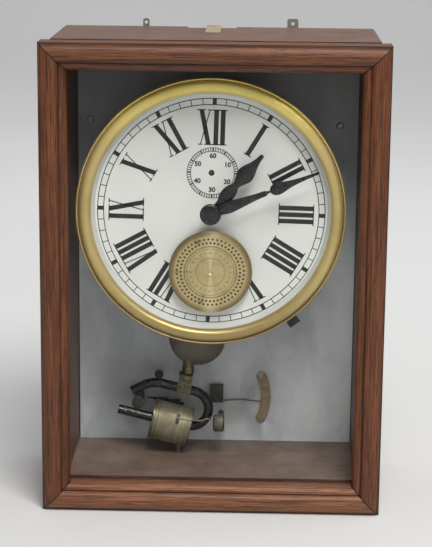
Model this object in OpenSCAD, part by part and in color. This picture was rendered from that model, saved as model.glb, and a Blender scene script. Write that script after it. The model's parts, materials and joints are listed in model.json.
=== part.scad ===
// Electric wall clock: a glazed wooden case with a marble slab that carries
// a pendulum movement, a brass-rimmed dial and a 24-hour programme disc.
// Frame: +Z up, the door faces -Y, X = 0 and Y = 0 at the middle of the case,
// Z = 0 under the bottom board.

/* [Case] */
// Width of the case across its sides
case_w = 341; // [334:1:350]
// Height of the case
case_h = 501.2; // [490:0.2:520]
// Depth from the proudest moulding to the back
total_d = 192; // [186:1:210]
// Thickness of the side and top boards
wall_t = 14; // [11:0.5:16]
// Thickness of the bottom board
bottom_t = 29; // [20:0.5:32]
// Thickness of the back board
back_t = 8; // [6:0.5:10]
// Thickness of the marble slab
marble_t = 18; // [16:0.5:22]
// Gap over the marble slab
slab_room = 6.2; // [1:0.1:20]

/* [Door] */
// How far the door stands past each side of the case
door_proud = 9.5; // [6:0.5:12]
// How far the door stops below the top of the case
door_reveal = 0.9; // [0:0.1:6]
// Door thickness behind the plane of its outer edge
door_t = 30; // [27:0.5:32]
// Width of the stiles and rails
member_w = 28.7; // [27:0.1:34]
// How far the moulding stands before the outer edge
ridge_h = 6; // [4:0.5:8]
// Gap between the door and the case
door_gap = 0.6; // [0.4:0.1:1]
// Clearance under the door
door_lift = 0.8; // [0.5:0.1:2]
// Thickness of the glass
glass_t = 3; // [2:0.5:4]
// Length of a hinge leaf
hinge_len = 50; // [30:1:70]
// Radius of a hinge knuckle
knuckle_r = 2.5; // [2.2:0.1:2.8]
// Thickness of a hinge leaf
leaf_t = 1.2; // [0.8:0.1:1.6]

/* [Dial] */
// Place of the centre arbor across the case
dial_x = -3.8; // [-10:0.1:10]
// Depth of the centre arbor below the top board
dial_drop = 169; // [162:0.1:174]
// Thickness of the dial
dial_t = 1.5; // [1:0.1:2]
// Distance from the back of the door to the face of the dial
dial_back = 30; // [28:0.5:34]
// Gap from the bezel to the left side of the case
bezel_room = 9.5; // [5:0.1:20]
// Width of the bezel's band
bezel_w = 15.4; // [12:0.1:18]
// Depth of the bezel before the dial
bezel_d = 20; // [16:0.5:22]
// Sheet thickness of the bezel and of the plate behind the dial
sheet_t = 1.3; // [1:0.1:1.5]
// Height of the seconds arbor above the centre
seconds_up = 40.3; // [39.5:0.1:41]
// Drop of the programme disc below the centre
disc_down = 65.5; // [65:0.1:66]
// Radius of the programme disc
disc_r = 44.6; // [43:0.1:46]
// Thickness of the programme disc
disc_t = 2.5; // [1.5:0.1:3]
// Number of plug holes in each ring of the programme disc
disc_holes = 48; // [24:24:48]
// Radius of a plug hole
plug_r = 0.85; // [0.6:0.05:1]
// Radius of the black boss on the centre arbor
boss_r = 11.3; // [10:0.1:13]
// Turn of the hour hand from twelve
hour_angle = 40.9; // [0:0.1:360]
// Turn of the minute hand from twelve
minute_angle = 67.9; // [0:0.1:360]

/* [Movement] */
// Width of the movement plates
plate_w = 110; // [106:1:120]
// Thickness of the movement plates
plate_t = 3; // [2:0.5:4]
// Distance between the movement plates
plate_gap = 26; // [25:0.5:30]
// Gap from the plate behind the dial to the front movement plate
motion_gap = 13; // [12.5:0.5:15]
// Radius of the centre arbor
arbor_r = 2; // [1.8:0.05:2.2]
// Module of the going train
train_mod = 0.6; // [0.58:0.01:0.62]
// Radius of the count wheel
count_r = 14; // [12:0.5:15]
// Running clearance of arbors in their holes, on the radius
run_fit = 0.05; // [0.02:0.01:0.08]

/* [Pendulum] */
// Place of the pendulum rod across the case
rod_x = -29.5; // [-32:0.1:-27]
// Gap from the back movement plate to the middle of the pendulum rod
rod_room = 9.9; // [9.6:0.1:12]
// Height of the suspension above the centre arbor
pivot_up = 71.8; // [68:0.1:76]
// Radius of the pendulum rod
rod_r = 2.5; // [2:0.1:3]
// Radius of the bob
bob_r = 31.3; // [29:0.1:34]
// Thickness of the bob at its middle
bob_t = 17.6; // [12:0.1:18]
// Height of the middle of the bob above the middle of the coil
bob_up = 99.2; // [96:0.1:102]
// Offset of the bob from the rod, which balances the magnet
bob_dx = 10.1; // [8:0.1:13]
// Radius of the magnet's round bar
bar_r = 5.3; // [4.5:0.1:5.5]
// Radius of the magnet's bend, to the middle of the bar
bend_r = 20.7; // [20:0.1:22]

/* [Coil] */
// Place of the middle of the coil across the case
coil_x = -48.3; // [-50:0.1:-46]
// Height of the middle of the coil above the bottom board
coil_up = 34.4; // [33:0.1:37]
// How far the coil sits below the magnet's bar
coil_drop = 1.2; // [0:0.1:2]
// Length of the coil over its cheeks
coil_len = 44; // [40:0.5:46]
// Outer radius of the coil's cheeks
coil_r = 23; // [21.5:0.1:23.5]
// Radius of the coil's bore
bore_r = 11.6; // [11:0.1:12.5]
// Slope of the coil and of the magnet, left end up
tilt = 13.5; // [12:0.1:15]

/* [Hidden] */

$fn = 96;
fit = 0.3;
eps = 0.01;

// Depth stations, front to back
moulding_y = -total_d / 2;
door_front = moulding_y + ridge_h;
door_rear = door_front + door_t;
case_front = door_rear + door_gap;
case_rear = total_d / 2;
slab_rear = case_rear - back_t;
slab_front = slab_rear - marble_t;
dial_front = door_rear + dial_back;
pan_front = dial_front + dial_t;
pan_rear = pan_front + sheet_t;
front_plate_y = pan_rear + motion_gap;
back_plate_y = front_plate_y + plate_t + plate_gap;
back_plate_rear = back_plate_y + plate_t;
pend_y = back_plate_rear + rod_room;

// Case interior
inner_w = case_w - 2 * wall_t;
inner_z = bottom_t;
inner_top = case_h - wall_t;
marble_h = inner_top - inner_z - slab_room;
door_w = case_w + 2 * door_proud;
door_h = case_h - door_lift - door_reveal;

// Heights and radii that follow the case
dial_z = inner_top - dial_drop;
pivot_z = dial_z + pivot_up;
coil_z = inner_z + coil_up;
bob_z = coil_z + bob_up;
bezel_r = inner_w / 2 - abs(dial_x) - bezel_room;
bezel_edge_r = bezel_r - bezel_w;
bezel_foot_r = bezel_edge_r - 4.4;
dial_r = bezel_foot_r + 1.4;

// Colours
oak = [0.42, 0.24, 0.16];
brass = [0.72, 0.60, 0.36];
steel = [0.62, 0.62, 0.60];
black = [0.08, 0.08, 0.10];
bronze = [0.48, 0.38, 0.26];
white = [0.90, 0.89, 0.85];

// A flat outline in the front view, from depth y to y + t
module sheet(y, t) {
    translate([0, y + t, 0]) rotate([90, 0, 0]) linear_extrude(t) children();
}

// A round bar along Y
module rod_y(x, z, y, len, r) {
    translate([x, y + len, z]) rotate([90, 0, 0]) cylinder(r = r, h = len);
}

// A box from its low corner to its high corner
module block(low, high) {
    translate(low) cube(high - low);
}

// Points of an arc
function arc(cx, cy, rx, ry, a0, a1, n) =
    [for (i = [0:n]) let (a = a0 + (a1 - a0) * i / n) [cx + rx * cos(a), cy + ry * sin(a)]];

// Smooth curve through a list of points, n steps a span
function smooth_at(p, i, t) = let (
        a = p[max(i - 1, 0)], b = p[i], c = p[i + 1], d = p[min(i + 2, len(p) - 1)])
    0.5 * ((2 * b) + (c - a) * t + (2 * a - 5 * b + 4 * c - d) * t * t
        + (3 * b - a - 3 * c + d) * t * t * t);
function smooth(p, n) = concat(
    [for (i = [0:len(p) - 2]) for (k = [0:n - 1]) smooth_at(p, i, k / n)], [p[len(p) - 1]]);

// Unbroken round tube along a route
function unit(v) = v / norm(v);
function tangent(p, i) = unit(p[min(i + 1, len(p) - 1)] - p[max(i - 1, 0)]);
function ring(p, i, r, sides) = let (
        t = tangent(p, i), u = unit(cross(t, [0, 1, 0.2])), v = cross(t, u))
    [for (k = [0:sides - 1]) p[i] + r * (cos(360 * k / sides) * u + sin(360 * k / sides) * v)];
module tube(p, r, sides = 8) {
    rings = len(p);
    points = [for (i = [0:rings - 1]) each ring(p, i, r, sides)];
    walls = [for (i = [0:rings - 2]) for (k = [0:sides - 1]) let (
            a = i * sides + k, b = i * sides + (k + 1) % sides)
        each [[a, b, b + sides], [a, b + sides, a + sides]]];
    first = [for (k = [1:sides - 2]) [0, k + 1, k]];
    last_at = (rings - 1) * sides;
    last = [for (k = [1:sides - 2]) [last_at, last_at + k, last_at + k + 1]];
    polyhedron(points = points, faces = concat(walls, first, last));
}

// Case

hanger_x = 81.3;
hanger_t = 2;
hanger_leg = 46;
hanger_rises = [8.6, 9.8];
hanger_corner = 2.5;
hanger_w = [7, 12.4];
hanger_hole_r = 1.9;
hanger_hole_z = case_h + 4.4;
screw_r = 1.6;
hanger_screw_drops = [16, 36];
notch_x = -7.8;
notch_w = 54;
notch_deep = 1.4;
notch_len = 14;
tab_x = notch_x + 1.9;
tab_w = 16.5;
tab_t = 1.4;
tab_leaf = 66;
tab_leg = 22;
tab_rise = 1.8;

rear_round = 5;
module case_plan() {
    half = case_w / 2 - rear_round;
    translate([0, 0, -1]) linear_extrude(case_h + 2) polygon(concat(
        [[case_w / 2, case_front - 1]],
        arc(half, case_rear - rear_round, rear_round, rear_round, 0, 90, 8),
        arc(-half, case_rear - rear_round, rear_round, rear_round, 90, 180, 8),
        [[-case_w / 2, case_front - 1]]));
}
module side_board(s) {
    color(oak) difference() {
        intersection() {
            case_plan();
            block([s > 0 ? inner_w / 2 : -case_w / 2, case_front, inner_z],
                [s > 0 ? case_w / 2 : -inner_w / 2, case_rear, inner_top]);
        }
        if (s > 0) for (z = hinge_z) leaf_pocket(case_front, z);
        if (s < 0) catch_dimple();
    }
}
module case_left_side() { side_board(-1); }
module case_right_side() { side_board(1); }

module case_top() {
    color(oak) difference() {
        intersection() {
            case_plan();
            block([-case_w / 2, case_front, inner_top], [case_w / 2, case_rear, case_h]);
        }
        block([notch_x - notch_w / 2, case_rear - notch_len, case_h - notch_deep],
            [notch_x + notch_w / 2, case_rear + 1, case_h + 1]);
        block([tab_x - tab_w / 2 - fit, case_rear - tab_leaf - fit, case_h - notch_deep],
            [tab_x + tab_w / 2 + fit, case_rear, case_h + 1]);
        block([tab_x - tab_w / 2 - fit, case_rear - tab_t, inner_top - 1],
            [tab_x + tab_w / 2 + fit, case_rear + 1, case_h + 1]);
        hanger_recesses();
    }
}

module case_bottom() {
    color(oak) intersection() {
        case_plan();
        block([-case_w / 2, case_front, 0], [case_w / 2, case_rear, bottom_t]);
    }
}

module back_board() {
    color(oak) difference() {
        block([-inner_w / 2, slab_rear, inner_z], [inner_w / 2, case_rear, inner_top]);
        hanger_recesses();
        block([tab_x - tab_w / 2 - fit, case_rear - tab_t, case_h - notch_deep - tab_leg - fit],
            [tab_x + tab_w / 2 + fit, case_rear + 1, inner_top + 1]);
        for (s = [-1, 1]) for (d = hanger_screw_drops)
            rod_y(s * hanger_x, case_h - d, slab_rear + 1, back_t, screw_r);
        rod_y(tab_x, case_h - tab_leg + 6, slab_rear + 1, back_t, screw_r);
    }
}

module hanger_recesses() {
    for (i = [0, 1]) {
        x = i == 0 ? -hanger_x : hanger_x;
        block([x - hanger_w[i] / 2 - fit, case_rear - hanger_t, case_h - hanger_leg - fit],
            [x + hanger_w[i] / 2 + fit, case_rear + 1, case_h + 1]);
    }
}

module wall_hangers() {
    color(steel) for (i = [0, 1]) {
        x = i == 0 ? -hanger_x : hanger_x;
        half = hanger_w[i] / 2;
        difference() {
            sheet(case_rear - hanger_t, hanger_t) hull() {
                translate([x - half, case_h - hanger_leg]) square([2 * half, hanger_leg]);
                for (s = [-1, 1])
                    translate([x + s * (half - hanger_corner), case_h + hanger_rises[i] - hanger_corner])
                        circle(hanger_corner);
            }
            rod_y(x, hanger_hole_z, case_rear - hanger_t - 1, hanger_t + 2, hanger_hole_r);
            for (d = hanger_screw_drops)
                rod_y(x, case_h - d, case_rear - hanger_t - 1, hanger_t + 2, screw_r);
        }
    }
}

// Wood screws of the hangers and of the rear tab
module wood_screws() {
    color(steel) {
        for (s = [-1, 1]) for (d = hanger_screw_drops)
            rod_y(s * hanger_x, case_h - d, slab_rear + 1, back_t - 1, screw_r);
        rod_y(tab_x, case_h - tab_leg + 6, slab_rear + 1, back_t - 1, screw_r);
    }
}

// Brass tab that lies on the top and folds over the rear edge
module rear_tab() {
    low_z = case_h - notch_deep;
    color(brass) difference() {
        union() {
            block([tab_x - tab_w / 2, case_rear - tab_leaf, low_z],
                [tab_x + tab_w / 2, case_rear, low_z + tab_t]);
            block([tab_x - tab_w / 2, case_rear - tab_t, low_z - tab_leg],
                [tab_x + tab_w / 2, case_rear, low_z + tab_t + tab_rise]);
        }
        rod_y(tab_x, case_h - tab_leg + 6, case_rear - tab_t - 1, tab_t + 2, screw_r);
    }
}

// Door

fillet_w = 2.4;
round_w = 18;
groove_w = 1.1;
groove_deep = 1.8;
bead_drop = 8.6;
sight_wall = 4.5;
rebate_w = 6.5;
mitre_gap = 0.1;
hinge_x = case_w / 2 + knuckle_r + 0.75;
hinge_y = door_rear + door_gap / 2;
hinge_inset = 79.5;
hinge_z = [door_lift + hinge_inset, door_lift + door_h - hinge_inset];
hinge_r = 1.2;
knuckle_room = 0.5;
leaf_reach = 15;
glass_y = door_front + bead_drop + sight_wall;
bead_t = 5;

// Section of a door member: distance from the outer edge, then depth before its plane
function member_section() = concat(
    [[0, -door_t], [0, 0], [fillet_w, 0]],
    arc(fillet_w + round_w / 2, 0.5, round_w / 2, ridge_h - 0.5, 180, 0, 20),
    [[fillet_w + round_w, -groove_deep], [fillet_w + round_w + groove_w, -groove_deep]],
    arc(fillet_w + round_w + groove_w, -bead_drop,
        member_w - fillet_w - round_w - groove_w, bead_drop - groove_deep / 2, 90, 0, 12),
    [[member_w, -bead_drop - sight_wall], [member_w - rebate_w, -bead_drop - sight_wall],
     [member_w - rebate_w, -door_t]]);

// A mitred door member along X, its outer edge at Z = 0 and its body above
module door_member(len) {
    half = len / 2 - mitre_gap;
    intersection() {
        rotate([90, 0, 90]) translate([0, 0, -len / 2]) linear_extrude(len)
            polygon([for (p = member_section()) [door_front - p[1], p[0]]]);
        sheet(moulding_y - 1, door_t + ridge_h + 2)
            polygon([[-half, 0], [half, 0], [half - member_w, member_w], [member_w - half, member_w]]);
    }
}
door_mid = door_lift + door_h / 2;
module door_bottom_rail() {
    color(oak) translate([0, 0, door_lift]) door_member(door_w);
}
module door_top_rail() {
    color(oak) translate([0, 0, door_lift + door_h]) mirror([0, 0, 1]) door_member(door_w);
}
module door_left_stile() {
    color(oak) difference() {
        translate([-door_w / 2, 0, door_mid]) rotate([0, 90, 0]) door_member(door_h);
        rod_y(catch_x, catch_z, door_rear - catch_len, catch_len + 1, catch_r);
    }
}
module door_right_stile() {
    color(oak) difference() {
        translate([door_w / 2, 0, door_mid]) rotate([0, -90, 0]) door_member(door_h);
        for (z = hinge_z) {
            leaf_pocket(door_rear - leaf_t, z);
            translate([hinge_x, hinge_y, z - hinge_len / 2 - knuckle_room])
                cylinder(r = knuckle_r + knuckle_room, h = hinge_len + 2 * knuckle_room);
        }
    }
}

glass_room = 0.4;
glass_half_w = door_w / 2 - member_w + rebate_w - glass_room;
glass_half_h = door_h / 2 - member_w + rebate_w - glass_room;
module door_glass() {
    color([0.8, 0.88, 0.88, 0.25])
        block([-glass_half_w, glass_y, door_mid - glass_half_h],
            [glass_half_w, glass_y + glass_t, door_mid + glass_half_h]);
}

module glazing_beads() {
    color(oak) for (a = [0, 1]) for (s = [-1, 1]) {
        long = a == 0 ? glass_half_w : glass_half_h - bead_t;
        other = a == 0 ? glass_half_h : glass_half_w;
        low = s > 0 ? other - bead_t : -other;
        translate([0, glass_y + glass_t, door_mid])
            cube_at(a == 0 ? [-long, 0, low] : [low, 0, -long],
                a == 0 ? [2 * long, bead_t, bead_t] : [bead_t, bead_t, 2 * long]);
    }
}
module cube_at(low, size) { translate(low) cube(size); }

// Hinge leaves: pocket, leaf with its knuckles, pin
module leaf_pocket(y, z) {
    block([hinge_x - leaf_reach - knuckle_room, y, z - hinge_len / 2 - knuckle_room / 2],
        [hinge_x, y + leaf_t, z + hinge_len / 2 + knuckle_room / 2]);
}
knuckle_len = hinge_len / 3;
knuckle_play = 0.15;
module leaf(y, z, spans) {
    difference() {
        union() {
            block([hinge_x - leaf_reach, y, z - hinge_len / 2],
                [hinge_x - knuckle_r - knuckle_room, y + leaf_t, z + hinge_len / 2]);
            for (k = spans) {
                low = z - hinge_len / 2 + k * knuckle_len + (k == 0 ? 0 : knuckle_play);
                high = z - hinge_len / 2 + (k + 1) * knuckle_len - (k == 2 ? 0 : knuckle_play);
                block([hinge_x - leaf_reach, y, low], [hinge_x, y + leaf_t, high]);
                translate([hinge_x, hinge_y, low]) cylinder(r = knuckle_r, h = high - low);
            }
        }
        if (len(spans) == 1)
            translate([hinge_x, hinge_y, z - hinge_len]) cylinder(r = hinge_r + run_fit, h = 2 * hinge_len);
    }
}
module hinge_case_leaves() {
    color(brass) for (z = hinge_z) {
        leaf(case_front, z, [0, 2]);
        translate([hinge_x, hinge_y, z - hinge_len / 2]) cylinder(r = hinge_r, h = hinge_len);
    }
}
module hinge_door_leaves() {
    color(brass) for (z = hinge_z) leaf(door_rear - leaf_t, z, [1]);
}

// Ball catch in the back of the left stile
catch_x = -case_w / 2 + wall_t / 2;
catch_z = door_lift + door_h / 2;
catch_r = 3.5;
catch_len = 12;
ball_r = 2.3;
catch_lip = 0.3;
lip_r = 2;
ball_y = door_rear - catch_lip - sqrt(ball_r * ball_r - lip_r * lip_r);
module door_catch_barrel() {
    color(brass) difference() {
        rod_y(catch_x, catch_z, door_rear - catch_len, catch_len, catch_r);
        rod_y(catch_x, catch_z, door_rear - catch_len + 1.5, catch_len - 1.5 - catch_lip, ball_r + run_fit);
        rod_y(catch_x, catch_z, door_rear - catch_lip - 1, catch_lip + 2, lip_r + run_fit);
    }
}
module door_catch_ball() {
    color(steel) translate([catch_x, ball_y, catch_z]) rotate([90, 0, 0]) sphere(r = ball_r);
}
module catch_dimple() {
    translate([catch_x, ball_y, catch_z]) rotate([90, 0, 0]) sphere(r = ball_r + fit);
}

// Marble slab with the holes of the tie rods and of its own screws

tie_r = 2;
rod_hole_r = tie_r + 0.3;
slab_w = inner_w - 2;
slab_top = inner_z + marble_h;
slab_screw_at = [[slab_w / 2 - 20.2, slab_top - 85], [14.3 - slab_w / 2, slab_top - 81]];
slab_screw_r = 2.2;
slab_head_r = 4.2;
slab_head_t = 2.4;
counterbore_r = 7;
counterbore_d = 7;

module marble_slab() {
    color(white) difference() {
        block([-slab_w / 2, slab_front, inner_z], [slab_w / 2, slab_rear, slab_top]);
        for (p = tie_at) {
            rod_y(p[0], p[1], slab_front - 1, marble_t + 2, rod_hole_r);
            rod_y(p[0], p[1], slab_rear - counterbore_d, counterbore_d + 1, counterbore_r);
        }
        for (p = slab_screw_at) rod_y(p[0], p[1], slab_front - 1, marble_t + 2, slab_screw_r);
    }
}
module slab_screws() {
    color(steel) for (p = slab_screw_at) difference() {
        union() {
            rod_y(p[0], p[1], slab_front, marble_t, slab_screw_r);
            translate([p[0], slab_front, p[1]]) rotate([90, 0, 0])
                cylinder(r1 = slab_head_r, r2 = slab_head_r - 1.2, h = slab_head_t);
        }
        block([p[0] - slab_head_r, slab_front - slab_head_t - 1, p[1] - 0.5],
            [p[0] + slab_head_r, slab_front - slab_head_t + 0.9, p[1] + 0.5]);
    }
}

// Movement frame

plate_low = dial_z - disc_down - 12.5;
plate_high = dial_z + seconds_up + 46.5;
pillar_r = 4.5;
mount_pillar_r = 6;
tie_head_r = 3.8;
tie_head_t = 2.6;
tie_inset = 8;
tie_at = [for (sx = [-1, 1]) for (z = [plate_low + tie_inset, plate_high - tie_inset])
    [dial_x + sx * (plate_w / 2 - tie_inset), z]];
nut_r = 4.6;
nut_t = 3.5;
foot_r = 3;
foot_at = [for (sx = [-1, 1]) for (dz = [-48, 62]) [dial_x + sx * (plate_w / 2 - 5), dial_z + dz]];

// Arbor places in the front view
centre_at = [dial_x, dial_z];
seconds_at = [dial_x, dial_z + seconds_up];
disc_at = [dial_x, dial_z - disc_down];

// Teeth of the going train and of the motion work
centre_teeth = 64;
leaf_teeth = 8;
inter_teeth = 60;
cannon_teeth = 16;
motion_teeth = 48;
motion_leaves = 12;
hour_teeth = 48;
programme_teeth = 96;
count_teeth = 60;
inter_to_centre = (centre_teeth + leaf_teeth) * train_mod / 2;
inter_to_seconds = (inter_teeth + leaf_teeth) * train_mod / 2;
inter_up = (inter_to_centre ^ 2 - inter_to_seconds ^ 2 + seconds_up ^ 2) / (2 * seconds_up);
inter_side = sqrt(inter_to_centre ^ 2 - inter_up ^ 2);
inter_at = centre_at + [inter_side, inter_up];
programme_mod = 2 * disc_down / (hour_teeth + programme_teeth);
motion_reach = (motion_leaves + hour_teeth) * programme_mod / 2;
motion_at = centre_at + [motion_reach, 0];
cannon_mod = 2 * motion_reach / (cannon_teeth + motion_teeth);
function bearing(a, b) = atan2(b[1] - a[1], b[0] - a[0]);

// Depths of the wheels
wheel_t = 1.5;
pinion_play = 0.8;
centre_wheel_y = front_plate_y + plate_t + 19.5;
inter_wheel_y = front_plate_y + plate_t + 9;
motion_wheel_y = front_plate_y - 5;
hour_wheel_y = motion_wheel_y - 4.6;
inter_r = 1.2;
seconds_r = 1;
stud_r = 1.2;

backlash = 0.14;
addendum = 0.8;
dedendum = 1.25;
// Outline of a spur wheel: root, pitch and tip points of each flank
function tooth_half(teeth, m, r) = let (
        pitch_half = (3.14159 * m / 2 - backlash) / 2 / (teeth * m / 2) * 57.2958)
    pitch_half * (r > teeth * m / 2 ? 0.55 : (r < teeth * m / 2 ? 1.25 : 1));
function wheel_points(teeth, m, turn) = let (
        rp = teeth * m / 2, rt = rp + addendum * m, rr = rp - dedendum * m,
        ht = tooth_half(teeth, m, rt), hp = tooth_half(teeth, m, rp), hr = tooth_half(teeth, m, rr))
    [for (i = [0:teeth - 1]) let (a = turn + 360 * i / teeth)
        each [for (q = [[rr, -hr], [rp, -hp], [rt, -ht], [rt, ht], [rp, hp], [rr, hr]])
            [q[0] * cos(a + q[1]), q[0] * sin(a + q[1])]]];

// A wheel with crossings: arms cut out of the web
module wheel(at, y, t, teeth, m, turn, hub_r, arms = 4) {
    root = teeth * m / 2 - dedendum * m;
    rim = root - 2;
    sheet(y, t) translate(at) difference() {
        polygon(wheel_points(teeth, m, turn));
        if (arms > 0) for (i = [0:arms - 1]) rotate(i * 360 / arms + 45) crossing(hub_r, rim, 360 / arms);
    }
}
// One opening between two arms
module crossing(hub_r, rim, span) {
    gap = span / 2 - 5;
    polygon(concat(arc(0, 0, rim, rim, -gap, gap, 12), arc(0, 0, hub_r + 1.5, hub_r + 1.5, gap * 0.55, -gap * 0.55, 6)));
}
module pinion(at, y, t, teeth, m, turn) {
    sheet(y, t) translate(at) polygon(wheel_points(teeth, m, turn));
}

module plate_outline() {
    translate([dial_x - plate_w / 2, plate_low]) square([plate_w, plate_high - plate_low]);
}
module arbor_holes(y, t) {
    rod_y(centre_at[0], centre_at[1], y - 1, t + 2, arbor_r + run_fit);
    rod_y(inter_at[0], inter_at[1], y - 1, t + 2, inter_r + run_fit);
    rod_y(seconds_at[0], seconds_at[1], y - 1, t + 2, seconds_r + run_fit);
    for (p = tie_at) rod_y(p[0], p[1], y - 1, t + 2, tie_r + run_fit);
}
module movement_front_plate() {
    color(brass) {
        difference() {
            sheet(front_plate_y, plate_t) plate_outline();
            arbor_holes(front_plate_y, plate_t);
            rod_y(disc_at[0], disc_at[1], front_plate_y - 1, plate_t + 2, arbor_r + run_fit);
        }
        rod_y(motion_at[0], motion_at[1], hour_wheel_y - 2.6, front_plate_y - hour_wheel_y + 2.6, stud_r);
    }
}
module movement_back_plate() {
    color(brass) {
        difference() {
            sheet(back_plate_y, plate_t) plate_outline();
            arbor_holes(back_plate_y, plate_t);
        }
        rod_y(click_at[0], click_at[1], back_plate_y + 1, count_y + pawl_t - back_plate_y, pawl_pin_r);
        rod_y(click_at[0], click_at[1], back_plate_y + 1, count_y - back_plate_y - 1.1, 2.4);
    }
}
module plate_pillars() {
    color(brass) for (p = tie_at) difference() {
        rod_y(p[0], p[1], front_plate_y + plate_t, plate_gap, pillar_r);
        rod_y(p[0], p[1], front_plate_y, plate_gap + 2 * plate_t, tie_r + run_fit);
    }
}
module mounting_pillars() {
    length = slab_front - back_plate_rear;
    color(brass) for (p = tie_at) difference() {
        union() {
            rod_y(p[0], p[1], back_plate_rear, length, mount_pillar_r);
            rod_y(p[0], p[1], slab_front - 4, 4, mount_pillar_r + 2.5);
        }
        rod_y(p[0], p[1], back_plate_rear - 1, length + 2, tie_r + run_fit);
    }
}
module tie_rods() {
    rod_end = slab_rear - 1.5;
    color(steel) for (p = tie_at) {
        rod_y(p[0], p[1], front_plate_y, rod_end - front_plate_y, tie_r);
        difference() {
            rod_y(p[0], p[1], front_plate_y - tie_head_t, tie_head_t, tie_head_r);
            block([p[0] - tie_head_r - 1, front_plate_y - tie_head_t - 1, p[1] - 0.4],
                [p[0] + tie_head_r + 1, front_plate_y - tie_head_t + 1, p[1] + 0.4]);
        }
    }
}
module tie_rod_nuts() {
    color(steel) for (p = tie_at) difference() {
        translate([p[0], slab_rear - counterbore_d + nut_t, p[1]]) rotate([90, 0, 0])
            cylinder(r = nut_r, h = nut_t, $fn = 6);
        rod_y(p[0], p[1], slab_rear - counterbore_d - 1, nut_t + 2, tie_r + run_fit);
    }
}

// Going train and motion work

cannon_r = 4;
hour_pipe_r = 5.5;
hand_t = 1;
minute_y = dial_front - 22.5;
hour_y = minute_y + 6;
module centre_arbor() {
    color(brass) {
        rod_y(centre_at[0], centre_at[1], minute_y - 2.2, back_plate_rear + 0.8 - minute_y + 2.2, arbor_r);
        wheel(centre_at, centre_wheel_y, wheel_t, centre_teeth, train_mod,
            bearing(centre_at, inter_at), arbor_r + 1.6);
        rod_y(centre_at[0], centre_at[1], centre_wheel_y - 2, 2, arbor_r + 1.6);
    }
}
module intermediate_arbor() {
    color(brass) {
        rod_y(inter_at[0], inter_at[1], front_plate_y, back_plate_rear - front_plate_y, inter_r);
        pinion(inter_at, centre_wheel_y - pinion_play, wheel_t + 2 * pinion_play, leaf_teeth, train_mod,
            bearing(inter_at, centre_at) + 180 / leaf_teeth);
        wheel(inter_at, inter_wheel_y, wheel_t, inter_teeth, train_mod,
            bearing(inter_at, seconds_at), inter_r + 1.8);
        rod_y(inter_at[0], inter_at[1], inter_wheel_y + wheel_t, 2, inter_r + 1.2);
    }
}
module seconds_arbor() {
    color(steel) {
        rod_y(seconds_at[0], seconds_at[1], dial_front - 0.6, back_plate_rear + 6 - dial_front + 0.6, seconds_r);
        pinion(seconds_at, inter_wheel_y - pinion_play, wheel_t + 2 * pinion_play, leaf_teeth, train_mod,
            bearing(seconds_at, inter_at) + 180 / leaf_teeth);
    }
}

// Ratchet wheel with one raked tooth a second
count_y = back_plate_rear + 2.2;
count_tooth = 1.3;
module count_wheel() {
    color(brass) difference() {
        union() {
            sheet(count_y, wheel_t) translate(seconds_at) difference() {
                polygon([for (i = [0:count_teeth - 1]) let (a = 360 * i / count_teeth)
                    each [[(count_r - count_tooth) * cos(a), (count_r - count_tooth) * sin(a)],
                          [count_r * cos(a + 1), count_r * sin(a + 1)]]]);
                for (i = [0:3]) rotate(90 * i + 45) crossing(3.5, count_r - count_tooth - 2, 90);
            }
            rod_y(seconds_at[0], seconds_at[1], back_plate_rear + 0.4, count_y - back_plate_rear - 0.4, 3);
        }
        rod_y(seconds_at[0], seconds_at[1], back_plate_rear - 1, 10, seconds_r + 0.02);
    }
}
module cannon_pinion() {
    color(brass) difference() {
        union() {
            rod_y(centre_at[0], centre_at[1], minute_y, motion_wheel_y - minute_y, cannon_r);
            pinion(centre_at, motion_wheel_y - pinion_play, wheel_t + 2 * pinion_play, cannon_teeth, cannon_mod,
                bearing(centre_at, motion_at));
        }
        rod_y(centre_at[0], centre_at[1], minute_y - 1, motion_wheel_y - minute_y + 6, arbor_r + run_fit);
    }
}
module motion_wheel() {
    color(brass) difference() {
        union() {
            wheel(motion_at, motion_wheel_y, wheel_t, motion_teeth, cannon_mod,
                bearing(motion_at, centre_at) + 180 / motion_teeth, 7);
            pinion(motion_at, hour_wheel_y - pinion_play,
                motion_wheel_y - hour_wheel_y + pinion_play, motion_leaves, programme_mod,
                bearing(motion_at, centre_at) + 180 / motion_leaves);
        }
        rod_y(motion_at[0], motion_at[1], hour_wheel_y - 2, 12, stud_r + run_fit);
    }
}
module hour_wheel() {
    color(brass) difference() {
        union() {
            wheel(centre_at, hour_wheel_y, wheel_t, hour_teeth, programme_mod, 0, hour_pipe_r + 1.5);
            rod_y(centre_at[0], centre_at[1], hour_y, hour_wheel_y - hour_y + wheel_t, hour_pipe_r);
        }
        rod_y(centre_at[0], centre_at[1], hour_y - 1, hour_wheel_y - hour_y + wheel_t + 2, cannon_r + run_fit);
    }
}
disc_y = dial_front - 10;
module programme_wheel() {
    color(brass) {
        wheel(disc_at, hour_wheel_y, wheel_t, programme_teeth, programme_mod, 90 + 180 / programme_teeth,
            arbor_r + 3, 6);
        rod_y(disc_at[0], disc_at[1], disc_y + 0.8, front_plate_y + plate_t - disc_y - 0.8, arbor_r);
        rod_y(disc_at[0], disc_at[1], hour_wheel_y + wheel_t, 1.5, arbor_r + 2);
    }
}

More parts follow.
